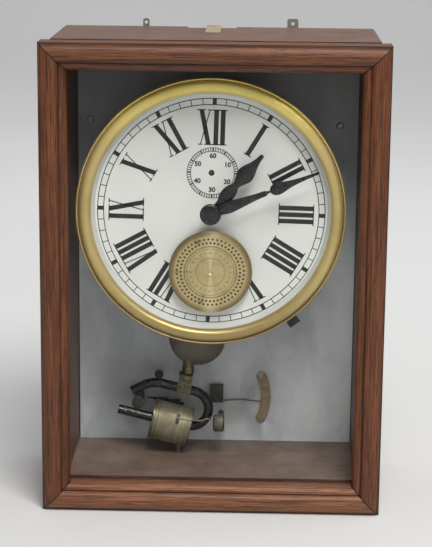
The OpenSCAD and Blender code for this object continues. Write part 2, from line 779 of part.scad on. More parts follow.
// 24-hour disc with two staggered rings of plug holes
disc_rim = 5.2;
disc_bevel = 1.3;
plug_ring = [31.8, 35.9];
disc_boss_r = 3.6;
module programme_disc() {
    color(brass) difference() {
        union() {
            translate([disc_at[0], 0, disc_at[1]]) rotate([90, 0, 0]) rotate_extrude()
                polygon([[0, -disc_y], [disc_r - disc_rim, -disc_y], [disc_r, -disc_y - disc_bevel],
                    [disc_r, -disc_y - disc_t], [0, -disc_y - disc_t]]);
            rod_y(disc_at[0], disc_at[1], disc_y + disc_t / 2, disc_t / 2 + 2.5, disc_boss_r + 2);
        }
        for (k = [0, 1]) for (i = [0:disc_holes - 1])
            let (a = (i + k / 2) * 360 / disc_holes)
            rod_y(disc_at[0] + plug_ring[k] * cos(a), disc_at[1] + plug_ring[k] * sin(a),
                disc_y - 1, disc_t + 2, plug_r);
        rod_y(disc_at[0], disc_at[1], disc_y + 0.78, 12, arbor_r + 0.02);
        translate([disc_at[0], disc_y, disc_at[1]]) rotate([-90, 0, 0])
            cylinder(r1 = disc_boss_r - 1, r2 = 1, h = 0.7);
    }
}

// Hands: half widths at distances from the arbor
hour_half = [[0, 3.8], [14, 3.8], [20, 6.2], [27, 7.5], [34, 6.4], [40, 3.8], [46, 6.0], [53, 8.9],
    [60, 8.2], [68, 5.0], [76, 2.7], [81, 2.0], [82.6, 1.2], [83, 0.2]];
minute_half = [[0, 4.4], [12, 5.0], [20, 6.3], [28, 5.9], [40, 4.5], [52, 3.3], [62.5, 2.7], [64, 1.1],
    [66.5, 1.1], [69, 4.6], [74, 6.4], [79, 6.2], [86, 4.4], [94, 2.8], [106, 1.7], [118, 1.0], [121.8, 0.3]];
module hand_outline(half) {
    right = smooth([for (p = half) [p[1], p[0]]], 4);
    left = [for (i = [len(right) - 1:-1:0]) [-right[i][0], right[i][1]]];
    polygon(concat(right, left));
}
module hand(half, turn, y, eye_r, hole_r) {
    color(black) sheet(y, hand_t) translate(centre_at) rotate(-turn) difference() {
        union() {
            hand_outline(half);
            circle(eye_r);
        }
        circle(hole_r);
    }
}
module hour_hand() { hand(hour_half, hour_angle, hour_y - hand_t, 9, arbor_r + 2.1); }
module minute_hand() { hand(minute_half, minute_angle, minute_y - hand_t, 7, arbor_r + run_fit); }
boss_t = 4.6;
module hand_boss() {
    front = minute_y - hand_t;
    color(black) difference() {
        translate([centre_at[0], 0, centre_at[1]]) rotate([90, 0, 0]) rotate_extrude()
            polygon(concat([[0, -front], [boss_r, -front]],
                arc(boss_r - 2.5, -front + 1.6, 2.5, boss_t - 1.6 - 0.6, 0, 80, 6),
                [[0, -front + boss_t]]));
        rod_y(centre_at[0], centre_at[1], front - 1.5, 3, arbor_r + run_fit);
    }
}

// Dial, the plate behind it and the bezel

centre_hole_r = 6.6;
seconds_hole_r = 3.2;
disc_hole_r = 4.2;
pan_r = bezel_r - 2.4;
ear_angle = -53.5;
ear_w = 13;
ear_out = 14;
module dial_holes() {
    translate(centre_at) circle(centre_hole_r);
    translate(seconds_at) circle(seconds_hole_r);
    translate(disc_at) circle(disc_hole_r);
}
module dial() {
    color(white) sheet(dial_front, dial_t) difference() {
        translate(centre_at) circle(dial_r, $fn = 180);
        dial_holes();
    }
}
module dial_back_plate() {
    color(steel) {
        sheet(pan_front, sheet_t) difference() {
            union() {
                translate(centre_at) circle(pan_r, $fn = 180);
                translate(centre_at) rotate(ear_angle) translate([pan_r - 6, -ear_w / 2])
                    square([ear_out + 6, ear_w]);
            }
            dial_holes();
        }
        for (p = foot_at) rod_y(p[0], p[1], pan_rear, motion_gap, foot_r);
    }
}

// Section of the bezel: radius, then depth before the dial's face
bezel_lip = 2.2;
bezel_groove = 1;
bezel_edge_d = 15.5;
module bezel() {
    band_out = bezel_r - bezel_lip - bezel_groove;
    band_mid = (band_out + bezel_edge_r) / 2;
    band_half = (band_out - bezel_edge_r) / 2;
    outer = concat(
        [[bezel_foot_r, 0.1], [bezel_edge_r, bezel_edge_d]],
        [for (p = arc(band_mid, bezel_edge_d, band_half, bezel_d - bezel_edge_d, 180, 0, 14)) p],
        [[band_out + bezel_groove, bezel_edge_d]],
        arc(bezel_r - bezel_lip / 2, bezel_edge_d + 0.6, bezel_lip / 2, 1.4, 180, 0, 6),
        [[bezel_r, bezel_edge_d - 1], [bezel_r - 0.8, -dial_t]]);
    inner = concat(
        [[bezel_r - 0.8 - sheet_t, -dial_t], [bezel_r - sheet_t, bezel_edge_d - sheet_t - 0.6]],
        arc(band_mid, bezel_edge_d - sheet_t, band_half - 0.6, bezel_d - bezel_edge_d, 0, 180, 14),
        [[bezel_foot_r + sheet_t, 0.1]]);
    color(brass) translate([centre_at[0], 0, centre_at[1]]) rotate([90, 0, 0])
        rotate_extrude($fn = 180) polygon([for (p = concat(outer, inner)) [p[0], p[1] - dial_front]]);
}

// Suspension and pendulum

spring_w = 8;
spring_t = 0.25;
spring_len = 14;
head_w = 8;
head_h = 12;
cock_w = 16;
cock_h = 12;
cock_foot = 20;
cock_foot_h = 46;
cock_foot_t = 4;
module suspension_cock() {
    color(brass) {
        block([rod_x - cock_w / 2, pend_y - 7, pivot_z], [rod_x + cock_w / 2, slab_front - cock_foot_t, pivot_z + cock_h]);
        block([rod_x - cock_foot / 2, slab_front - cock_foot_t, pivot_z + cock_h / 2 - cock_foot_h / 2],
            [rod_x + cock_foot / 2, slab_front, pivot_z + cock_h / 2 + cock_foot_h / 2]);
        for (s = [-1, 1]) rod_y(rod_x, pivot_z + cock_h / 2 + s * (cock_foot_h / 2 - 6),
            slab_front - cock_foot_t - 2, 2, 3.2);
    }
}
module suspension_spring() {
    color(steel) block([rod_x - spring_t / 2, pend_y - spring_w / 2, pivot_z - spring_len],
        [rod_x + spring_t / 2, pend_y + spring_w / 2, pivot_z - 0.02]);
}
clamp_top_z = coil_z + 57.6;
module pendulum_rod() {
    head_top = pivot_z - spring_len;
    color(brass) {
        block([rod_x - head_w / 2, pend_y - head_w / 2, head_top - head_h], [rod_x + head_w / 2, pend_y + head_w / 2, head_top]);
        translate([rod_x, pend_y, clamp_top_z]) cylinder(r = rod_r, h = head_top - head_h - clamp_top_z);
        rod_y(rod_x, pawl_z, pawl_y - 0.6, pend_y - pawl_y + 0.6, pawl_pin_r);
    }
}
rating_r = 6.6;
nut_top_r = rating_r - 0.7;
nut_top_z = bob_z - sqrt(bob_r ^ 2 - (bob_dx - nut_top_r) ^ 2) - fit;
bob_rim_t = 6;
module pendulum_bob() {
    color([0.20, 0.16, 0.13]) difference() {
        union() {
            translate([rod_x + bob_dx, pend_y, bob_z]) rotate([90, 0, 0]) rotate_extrude()
                polygon(concat([[0, -bob_t / 2]],
                    arc(0, -bob_rim_t / 2, bob_r, bob_t / 2 - bob_rim_t / 2, -90, 0, 24),
                    arc(0, bob_rim_t / 2, bob_r, bob_t / 2 - bob_rim_t / 2, 0, 90, 24)));
            translate([rod_x, pend_y, nut_top_z]) cylinder(r = nut_top_r, h = bob_r / 3);
        }
        translate([rod_x, pend_y, bob_z - bob_r - 1]) cylinder(r = rod_r + run_fit, h = 2 * bob_r + 2);
    }
}
nut_play = 0.4;
nut_seat = 0.1;
nut_neck = 2.6;
module rating_nut() {
    color(brass) difference() {
        translate([rod_x, pend_y, clamp_top_z + nut_play]) {
            cylinder(r = rating_r, h = nut_top_z - clamp_top_z - nut_play - nut_neck);
            cylinder(r = nut_top_r, h = nut_top_z - clamp_top_z - nut_play - nut_seat);
        }
        translate([rod_x, pend_y, clamp_top_z - 1])
            cylinder(r = rod_r + run_fit, h = nut_top_z - clamp_top_z + 2);
    }
}

// The magnet lies in a plane of its own: its axes run along and across the coil
module bar_frame() {
    translate([coil_x, pend_y, coil_z]) rotate([0, tilt, 0]) children();
}
module coil_frame() {
    bar_frame() translate([0, 0, -coil_drop]) children();
}
lower_tip = -61.5;
bend_at = 17.1;
upper_end = -20;
hook_r = 32;
hook_angle = 42;
hook_len = 13;
module bar(len) { rotate([0, 90, 0]) cylinder(r = bar_r, h = len); }
module magnet() {
    color(black) bar_frame() {
        translate([lower_tip, 0, 0]) bar(bend_at - lower_tip);
        translate([bend_at, 0, bend_r]) rotate([90, 0, 0]) rotate([0, 0, -90])
            rotate_extrude(angle = 180) translate([bend_r, 0]) circle(bar_r, $fn = 48);
        translate([upper_end, 0, 2 * bend_r]) bar(bend_at - upper_end);
        translate([upper_end, 0, 2 * bend_r - hook_r]) rotate([90, 0, 0]) rotate([0, 0, 90])
            rotate_extrude(angle = hook_angle) translate([hook_r, 0]) circle(bar_r, $fn = 48);
        translate([upper_end - hook_r * sin(hook_angle), 0, 2 * bend_r - hook_r * (1 - cos(hook_angle))])
            rotate([0, -hook_angle, 0]) translate([-hook_len, 0, 0]) bar(hook_len);
    }
}
clamp_w = 15.5;
clamp_h = 25;
clamp_d = 17;
clamp_tilt = 7;
clamp_at = [coil_x + 15.1, coil_z + 44.8];
clamp_screw_r = 2;
clamp_head_r = 3.1;
clamp_head_t = 1.8;
clamp_screw_at = [[1.6, 9], [-0.6, 1.5]];
module clamp_frame() {
    translate([clamp_at[0], pend_y, clamp_at[1]]) rotate([0, clamp_tilt, 0]) children();
}
module magnet_clamp() {
    color(bronze) difference() {
        union() {
            clamp_frame() translate([-clamp_w / 2, -clamp_d / 2, -clamp_h / 2]) cube([clamp_w, clamp_d, clamp_h]);
        }
        bar_frame() translate([upper_end, 0, 2 * bend_r]) rotate([0, 90, 0])
            cylinder(r = bar_r + run_fit, h = 3 * bend_r);
        block([rod_x - clamp_h, pend_y - clamp_d, clamp_top_z],
            [rod_x + clamp_h, pend_y + clamp_d, clamp_top_z + clamp_h]);
        clamp_frame() for (p = clamp_screw_at) rod_y(p[0], p[1], -clamp_d / 2 - 1, 7, clamp_screw_r);
    }
}
module clamp_screws() {
    color(brass) clamp_frame() for (p = clamp_screw_at) difference() {
        union() {
            rod_y(p[0], p[1], -clamp_d / 2, 5.5, clamp_screw_r - run_fit);
            rod_y(p[0], p[1], -clamp_d / 2 - clamp_head_t, clamp_head_t, clamp_head_r);
        }
        cube_at([p[0] - 4, -clamp_d / 2 - clamp_head_t - 1, p[1] - 0.4], [8, 1.8, 0.8]);
    }
}

// Pawl on the rod below the count wheel, tail-heavy so that its hook presses up
pawl_y = count_y;
pawl_t = 1.5;
pawl_pin_r = 1.2;
pawl_clear = 1;
pawl_z = seconds_at[1] - count_r - pawl_clear - 3.5;
pawl_reach = dial_x - rod_x - 1;
module drive_pawl() {
    color(brass) sheet(pawl_y, pawl_t) translate([rod_x, pawl_z]) difference() {
        union() {
            circle(3);
            polygon([[0, 1.4], [0, -1.4], [pawl_reach, -0.9], [pawl_reach + 1.2, 0.4],
                [pawl_reach + 0.9, 3.5], [pawl_reach - 0.8, 1.2]]);
            translate([-14, -1.2]) square([14, 2.4]);
            translate([-15, 0]) circle(4.5);
        }
        circle(pawl_pin_r + run_fit);
    }
}
// Click on the back plate that keeps the count wheel from turning back
click_at = seconds_at + [24, 2];
click_tip = count_r + 0.6;
module back_click() {
    color(brass) {
        sheet(count_y, pawl_t) difference() {
            union() {
                translate(click_at) circle(2.8);
                polygon([click_at + [0, 2], click_at + [0, -2],
                    seconds_at + [click_tip, -0.2], seconds_at + [click_tip + 0.2, 1.2]]);
            }
            translate(click_at) circle(pawl_pin_r + run_fit);
        }
    }
}

// Coil: former, winding and brass sleeve, all on the axis of its frame

cheek_t = 1.6;
former_wall = 1;
sleeve_wall = 0.8;
sleeve_r = coil_r - 0.8;
winding_r = sleeve_r - sleeve_wall - 0.2;
slot_w = 4.2;
slot_len = 12;
slot_at = 6;
slot_angle = 33;
module pipe_x(x, len, outer, inner) {
    translate([x, 0, 0]) rotate([0, 90, 0]) difference() {
        cylinder(r = outer, h = len);
        translate([0, 0, -1]) cylinder(r = inner, h = len + 2);
    }
}
module coil_former() {
    color(bronze) coil_frame() difference() {
        union() {
            translate([-coil_len / 2, 0, 0]) rotate([0, 90, 0]) cylinder(r = bore_r + former_wall, h = coil_len);
            for (x = [-coil_len / 2, coil_len / 2 - cheek_t])
                translate([x, 0, 0]) rotate([0, 90, 0]) cylinder(r = coil_r, h = cheek_t);
        }
        translate([-coil_len / 2 - 1, 0, 0]) rotate([0, 90, 0]) cylinder(r = bore_r, h = coil_len + 2);
    }
}
module coil_winding() {
    color([0.45, 0.22, 0.12]) coil_frame()
        pipe_x(-coil_len / 2 + cheek_t, coil_len - 2 * cheek_t, winding_r, bore_r + former_wall);
}
module coil_sleeve() {
    color([0.52, 0.50, 0.38]) coil_frame() difference() {
        union() {
            pipe_x(-coil_len / 2 + cheek_t, coil_len - 2 * cheek_t, sleeve_r, sleeve_r - sleeve_wall);
            for (x = [-coil_len / 2 + cheek_t + 2.2, coil_len / 2 - cheek_t - 3.2])
                pipe_x(x, 1, sleeve_r + 0.4, sleeve_r - sleeve_wall);
        }
        rotate([-slot_angle, 0, 0]) translate([slot_at, 0, 0]) for (s = [-1, 1]) {
            translate([0, 0, s * (slot_len - slot_w) / 2]) rotate([90, 0, 0])
                cylinder(r = slot_w / 2, h = coil_r + 2);
            if (s > 0) cube_at([-slot_w / 2, -coil_r - 2, -(slot_len - slot_w) / 2],
                [slot_w, coil_r + 2, slot_len - slot_w]);
        }
    }
}
// Saddle behind the coil, its pedestal on the slab and the arm to the left nut
saddle_r = coil_r + 3;
saddle_w = 18;
saddle_h = 28;
left_post_at = [coil_x - 37.8, coil_z + 19.4];
left_nut_r = 7.4;
left_nut_t = 5;
arm_y = pend_y + 13;
arm_t = 3;
module coil_saddle() {
    color([0.13, 0.13, 0.12]) difference() {
        union() {
            coil_frame() difference() {
                translate([-saddle_w / 2, 0, 0]) rotate([0, 90, 0]) cylinder(r = saddle_r, h = saddle_w);
                translate([-saddle_w, 0, 0]) rotate([0, 90, 0]) cylinder(r = sleeve_r + fit / 2, h = 2 * saddle_w);
                translate([-saddle_w, -2 * saddle_r + 9, -2 * saddle_r]) cube([2 * saddle_w, 2 * saddle_r, 4 * saddle_r]);
            }
            difference() {
                block([coil_x - saddle_w / 2, pend_y + coil_r - 6, coil_z - saddle_h / 2],
                    [coil_x + saddle_w / 2, slab_front, coil_z + saddle_h / 2]);
                coil_frame() translate([-2 * saddle_w, 0, 0]) rotate([0, 90, 0]) cylinder(r = saddle_r - 1, h = 4 * saddle_w);
            }
            difference() {
                sheet(arm_y, arm_t) union() {
                    translate([left_post_at[0], left_post_at[1] - 4.5]) square([coil_x - 4 - left_post_at[0], 9]);
                    translate(left_post_at) circle(6);
                }
                coil_frame() translate([-2 * saddle_w, 0, 0]) rotate([0, 90, 0])
                    cylinder(r = coil_r + fit, h = 4 * saddle_w);
            }
        }
        rod_y(left_post_at[0], left_post_at[1], arm_y - 1, arm_t + 2, 3 + run_fit);
        block([coil_x - 2 * saddle_r, slab_front, coil_z - 2 * saddle_r],
            [coil_x + 2 * saddle_r, slab_front + saddle_r, coil_z + 2 * saddle_r]);
    }
}
module coil_foot() {
    foot_dx = 8;
    foot_r = 1.5;
    foot_z = coil_z - coil_drop / cos(tilt) - (foot_dx + foot_r) * tan(tilt) - sleeve_r / cos(tilt);
    color(steel) translate([coil_x + foot_dx, pend_y, inner_z]) {
        cylinder(r = foot_r, h = foot_z - inner_z - fit);
        cylinder(r = 3.2, h = 1.5);
    }
}

// Terminals on the slab: left post and nut, stop stud, block and thumb nut

block_low = [-6, slab_front - 10, coil_z + 13.6];
block_high = [9.4, slab_front, coil_z + 33];
stud_at = [coil_x - 16, coil_z + 45.2];
thumb_at = [-0.6, pend_y - 17, coil_z + 4.8];
thumb_r = 9.6;
thumb_t = 12.6;
post_at = [7, coil_z - 1.9];
module terminals() {
    color([0.16, 0.12, 0.09]) block([block_low[0], block_low[1], block_low[2]],
        [block_high[0], block_high[1], block_high[2]]);
    color(brass) {
        rod_y(block_high[0] - 3.2, coil_z + 22.6, block_low[1] - 2, 2, 3);
        rod_y(left_post_at[0], left_post_at[1], arm_y + arm_t, slab_front - arm_y - arm_t, 5);
        rod_y(left_post_at[0], left_post_at[1], arm_y - left_nut_t - 1, left_nut_t + 1 + arm_t, 3);
        difference() {
            rod_y(left_post_at[0], left_post_at[1], arm_y - left_nut_t, left_nut_t, left_nut_r);
            rod_y(left_post_at[0], left_post_at[1], arm_y - left_nut_t - 1, left_nut_t + 2, 3);
        }
        rod_y(stud_at[0], stud_at[1], slab_front - 4, 4, 3.5);
        translate([stud_at[0], slab_front - 7, stud_at[1]]) rotate([90, 0, 0]) sphere(r = 5);
        rod_y(post_at[0], post_at[1], thumb_at[1], slab_front - thumb_at[1], 3.4);
        thumb_nut();
    }
}

// Knurled nut with rounded shoulders, its axis along X
thumb_ribs = 24;
module thumb_nut() {
    translate(thumb_at) rotate([0, 90, 0]) {
        difference() {
            rotate_extrude() polygon(concat([[0, 0], [thumb_r - 3, 0]],
                arc(thumb_r - 3, 3, 3, 3, -90, 0, 6), arc(thumb_r - 3, thumb_t - 3, 3, 3, 0, 90, 6), [[0, thumb_t]]));
            for (i = [0:thumb_ribs - 1]) rotate(i * 360 / thumb_ribs)
                translate([thumb_r + 0.3, 0, -1]) cylinder(r = 0.8, h = thumb_t + 2, $fn = 24);
        }
    }
}

// Wires along their routes
coil_wire_r = 0.6;
coil_route = [[-40.4, 9.3, 73], [-39.4, 8.5, 73.3], [-37, 8.5, 73.2], [-33, 8.8, 72.8], [-28, 9, 72.2],
    [-23, 9.1, 71.7], [-18, 9.2, 71.2], [-15, 9.2, 71], [-12.5, 9.2, 71.4], [-10, 9.4, 72.6],
    [-8, 9.7, 73.3], [-5.5, 10, 73], [-3.2, 10.4, 72.3], [-1, 10.7, 72]];
link_wire_r = 0.8;
link_route = [[9.7, 64.5, 78.4], [12, 65.4, 78.3], [16, 66.4, 78.2], [21, 67.4, 78.2], [25.5, 68, 78.4],
    [30, 68.4, 78.5], [35, 68.6, 78.2], [40, 68.4, 77.7], [44.5, 67.8, 77.3], [49, 67.2, 77.1], [52.5, 67.1, 77]];
module coil_wire() {
    color([0.72, 0.68, 0.52]) tube(smooth(coil_route, 2), coil_wire_r);
}
module link_wire() {
    color([0.50, 0.34, 0.22]) tube(smooth(link_route, 2), link_wire_r);
}

// Curved strip on the slab
strip_r = 58.1;
strip_at = [0.1, coil_z + 18.4];
strip_w = 11.6;
strip_t = 2;
strip_half = 24.7;
strip_hole_r = 1.7;
module connector_strip() {
    color(bronze) sheet(slab_front - strip_t, strip_t) translate(strip_at) difference() {
        union() {
            polygon(concat(arc(0, 0, strip_r + strip_w / 2, strip_r + strip_w / 2, -strip_half, strip_half, 16),
                arc(0, 0, strip_r - strip_w / 2, strip_r - strip_w / 2, strip_half, -strip_half, 16)));
            for (s = [-1, 1]) rotate(s * strip_half) translate([strip_r, 0]) circle(strip_w / 2);
        }
        rotate(strip_half) translate([strip_r, 0]) circle(strip_hole_r);
    }
}

case_left_side();
case_right_side();
case_top();
case_bottom();
back_board();
wall_hangers();
wood_screws();
rear_tab();
door_top_rail();
door_bottom_rail();
door_left_stile();
door_right_stile();
door_glass();
glazing_beads();
hinge_case_leaves();
hinge_door_leaves();
door_catch_barrel();
door_catch_ball();
marble_slab();
slab_screws();
movement_back_plate();
movement_front_plate();
plate_pillars();
mounting_pillars();
tie_rods();
tie_rod_nuts();
centre_arbor();
intermediate_arbor();
seconds_arbor();
count_wheel();
cannon_pinion();
motion_wheel();
hour_wheel();
programme_wheel();
programme_disc();
hour_hand();
minute_hand();
hand_boss();
dial();
dial_back_plate();
bezel();
suspension_cock();
suspension_spring();
pendulum_rod();
pendulum_bob();
rating_nut();
magnet_clamp();
clamp_screws();
magnet();
drive_pawl();
back_click();
coil_former();
coil_winding();
coil_sleeve();
coil_saddle();
coil_foot();
terminals();
coil_wire();
link_wire();
connector_strip();
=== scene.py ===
"""Finishes, dial print, hands, bezel, studio and camera for a glazed wall clock.

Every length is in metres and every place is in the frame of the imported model: +X to the
right of the dial, the door towards -Y, +Z up, the ground at Z = 0.
"""

from __future__ import annotations

import json
import logging
import math
from dataclasses import dataclass, field
from enum import Enum
from functools import cache
from typing import Iterable, Sequence, Union

import bpy
from mathutils import Matrix, Vector

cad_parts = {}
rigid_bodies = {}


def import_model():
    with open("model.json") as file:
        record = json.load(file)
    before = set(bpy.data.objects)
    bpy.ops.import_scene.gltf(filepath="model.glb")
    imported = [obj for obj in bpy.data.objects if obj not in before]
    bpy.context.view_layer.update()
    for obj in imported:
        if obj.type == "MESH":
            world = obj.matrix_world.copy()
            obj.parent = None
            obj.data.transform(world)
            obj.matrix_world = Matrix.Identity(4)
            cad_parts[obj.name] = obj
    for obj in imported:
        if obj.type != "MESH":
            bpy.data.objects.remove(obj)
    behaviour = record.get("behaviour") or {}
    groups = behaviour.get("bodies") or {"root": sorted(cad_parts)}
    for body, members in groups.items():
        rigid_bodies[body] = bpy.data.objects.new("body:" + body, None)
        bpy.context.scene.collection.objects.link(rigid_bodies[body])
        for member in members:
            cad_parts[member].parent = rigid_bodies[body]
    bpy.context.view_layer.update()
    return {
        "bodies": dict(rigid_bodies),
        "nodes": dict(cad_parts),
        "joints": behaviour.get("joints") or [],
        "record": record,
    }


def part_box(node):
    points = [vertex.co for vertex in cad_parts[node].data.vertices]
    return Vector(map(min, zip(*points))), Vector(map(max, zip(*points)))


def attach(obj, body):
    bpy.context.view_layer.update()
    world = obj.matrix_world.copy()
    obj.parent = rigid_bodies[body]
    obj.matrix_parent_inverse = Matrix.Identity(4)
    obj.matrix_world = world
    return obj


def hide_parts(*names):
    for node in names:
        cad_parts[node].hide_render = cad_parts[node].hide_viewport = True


log = logging.getLogger("clock")

MM = 0.001
Point2 = tuple[float, float]
Point3 = tuple[float, float, float]
Colour = tuple[float, float, float, float]
Piece = bpy.types.Object
Socket = bpy.types.NodeSocket
Value = Union[Socket, float, Point3, Colour]

ARBOR: Point2 = (-3.8 * MM, 318.2 * MM)
DIAL_Y = -30.0 * MM


def shade(red: int, green: int, blue: int) -> Colour:
    """Turn display colour bytes into the linear colour that shaders take.

    Args:
        red: Red byte.
        green: Green byte.
        blue: Blue byte.

    Returns:
        Linear red, green, blue and full alpha.
    """
    parts = [c / 255.0 for c in (red, green, blue)]
    flat = [c / 12.92 if c <= 0.04045 else ((c + 0.055) / 1.055) ** 2.4 for c in parts]
    return (flat[0], flat[1], flat[2], 1.0)


# Modelling by hand, in code


class Bench:
    """Operators on one object at a time, with nothing else selected."""

    @staticmethod
    def clear() -> None:
        """Leave edit mode and deselect everything."""
        if bpy.context.object and bpy.context.object.mode != "OBJECT":
            bpy.ops.object.mode_set(mode="OBJECT")
        bpy.ops.object.select_all(action="DESELECT")

    @staticmethod
    def pick(*pieces: Piece) -> None:
        """Select some pieces and nothing else.

        Args:
            *pieces: The pieces, the last one made active.
        """
        Bench.clear()
        for piece in pieces:
            piece.select_set(True)
        bpy.context.view_layer.objects.active = pieces[-1]

    @staticmethod
    def edit(piece: Piece) -> None:
        """Open a piece in edit mode with all of it selected.

        Args:
            piece: The piece.
        """
        Bench.pick(piece)
        bpy.ops.object.mode_set(mode="EDIT")
        bpy.ops.mesh.select_all(action="SELECT")

    @staticmethod
    def turn_out(merge: bool = False) -> None:
        """Turn the normals of the piece in edit mode outwards and leave edit mode.

        Args:
            merge: Whether points at one place are merged first.
        """
        bpy.ops.mesh.select_all(action="SELECT")
        if merge:
            bpy.ops.mesh.remove_doubles(threshold=1e-6)
        bpy.ops.mesh.normals_make_consistent(inside=False)
        bpy.ops.object.mode_set(mode="OBJECT")

    @staticmethod
    def outline(name: str, points: Sequence[Point3], filled: bool = True) -> Piece:
        """Add a circle with one corner a point and move each corner to its point.

        Args:
            name: Name of the new piece.
            points: Corners in order.
            filled: Whether the outline is a face.

        Returns:
            The new piece, its origin at the frame's origin.
        """
        Bench.clear()
        fill = "NGON" if filled else "NOTHING"
        bpy.ops.mesh.primitive_circle_add(
            vertices=len(points), radius=1.0, fill_type=fill, location=(0, 0, 0)
        )
        piece = bpy.context.object
        piece.name = name
        for vertex, point in zip(piece.data.vertices, points):
            vertex.co = point
        return piece

    @staticmethod
    def ring(points: Sequence[Point3], width: float) -> Piece:
        """Add a flat ring as one strip of faces.

        Args:
            points: Corners of its outer edge.
            width: How far it reaches inwards.

        Returns:
            The ring.
        """
        piece = Bench.outline("ring", points)
        Bench.edit(piece)
        bpy.ops.mesh.inset(thickness=width, depth=0)
        bpy.ops.mesh.delete(type="FACE")
        bpy.ops.object.mode_set(mode="OBJECT")
        return piece

    @staticmethod
    def label(text: str, size: float, resolution: int, spread: float = 0.0) -> Piece:
        """Set centred figures and make them a flat mesh.

        Args:
            text: The figures.
            size: Height of a line.
            resolution: Steps in each curve.
            spread: How much bolder than the font.

        Returns:
            The figures, facing up at the frame's origin.
        """
        Bench.clear()
        bpy.ops.object.text_add()
        piece = bpy.context.object
        piece.data.body = text
        piece.data.align_x = "CENTER"
        piece.data.align_y = "CENTER"
        piece.data.size = size
        piece.data.offset = spread
        piece.data.resolution_u = resolution
        bpy.ops.object.convert(target="MESH")
        return piece

    @staticmethod
    def join(name: str, pieces: Sequence[Piece]) -> Piece:
        """Join pieces into one.

        Args:
            name: Name of the whole.
            pieces: The parts of it.

        Returns:
            The whole.
        """
        Bench.pick(*pieces)
        if len(pieces) > 1:
            bpy.ops.object.join()
        piece = bpy.context.object
        piece.name = name
        return piece

    @staticmethod
    def copies(piece: Piece, turns: Sequence[Matrix]) -> list[Piece]:
        """Copy a pattern, each copy with its own mesh, and delete the pattern.

        Args:
            piece: The pattern.
            turns: Where each copy goes.

        Returns:
            The copies.
        """
        made = []
        for turn in turns:
            Bench.pick(piece)
            bpy.ops.object.duplicate(linked=False)
            copy = bpy.context.object
            copy.data.transform(turn)
            made.append(copy)
        bpy.data.objects.remove(piece)
        return made

    @staticmethod
    def about(centre: Point3, angle_deg: float) -> Matrix:
        """Turn clockwise, seen from the front, about a line along Y through a centre."""
        spot = Matrix.Translation(Vector(centre))
        return spot @ Matrix.Rotation(math.radians(angle_deg), 4, "Y") @ spot.inverted()

    @staticmethod
    def thicken(piece: Piece, depth: float) -> None:
        """Extrude all faces of a flat piece towards the front.

        Args:
            piece: The piece.
            depth: How far.
        """
        Bench.edit(piece)
        bpy.ops.mesh.extrude_region_move(TRANSFORM_OT_translate={"value": (0, -depth, 0)})
        Bench.turn_out()

    @staticmethod
    def lathe(piece: Piece, centre: Point3, steps: int) -> None:
        """Spin a closed section once round a line along Y and close its seam.

        Args:
            piece: The section.
            centre: A point on the line.
            steps: Steps in the round.
        """
        Bench.edit(piece)
        bpy.ops.mesh.spin(steps=steps, angle=2 * math.pi, center=centre, axis=(0, 1, 0))
        Bench.turn_out(merge=True)

    @staticmethod
    def soften(piece: Piece, width: float, segments: int, angle: float = 40) -> None:
        """Round the sharp edges of a piece with an applied bevel.

        Args:
            piece: The piece.
            width: Width of the bevel.
            segments: Faces across it.
            angle: Degrees past which an edge is sharp.
        """
        Bench.pick(piece)
        bevel = piece.modifiers.new("edges", "BEVEL")
        bevel.width = width
        bevel.segments = segments
        bevel.limit_method = "ANGLE"
        bevel.angle_limit = math.radians(angle)
        bpy.ops.object.modifier_apply(modifier=bevel.name)

    @staticmethod
    def smooth(piece: Piece, angle: float) -> None:
        """Shade a piece smooth except at edges sharper than an angle in degrees."""
        Bench.pick(piece)
        bpy.ops.object.shade_smooth_by_angle(angle=math.radians(angle))


# Shader building


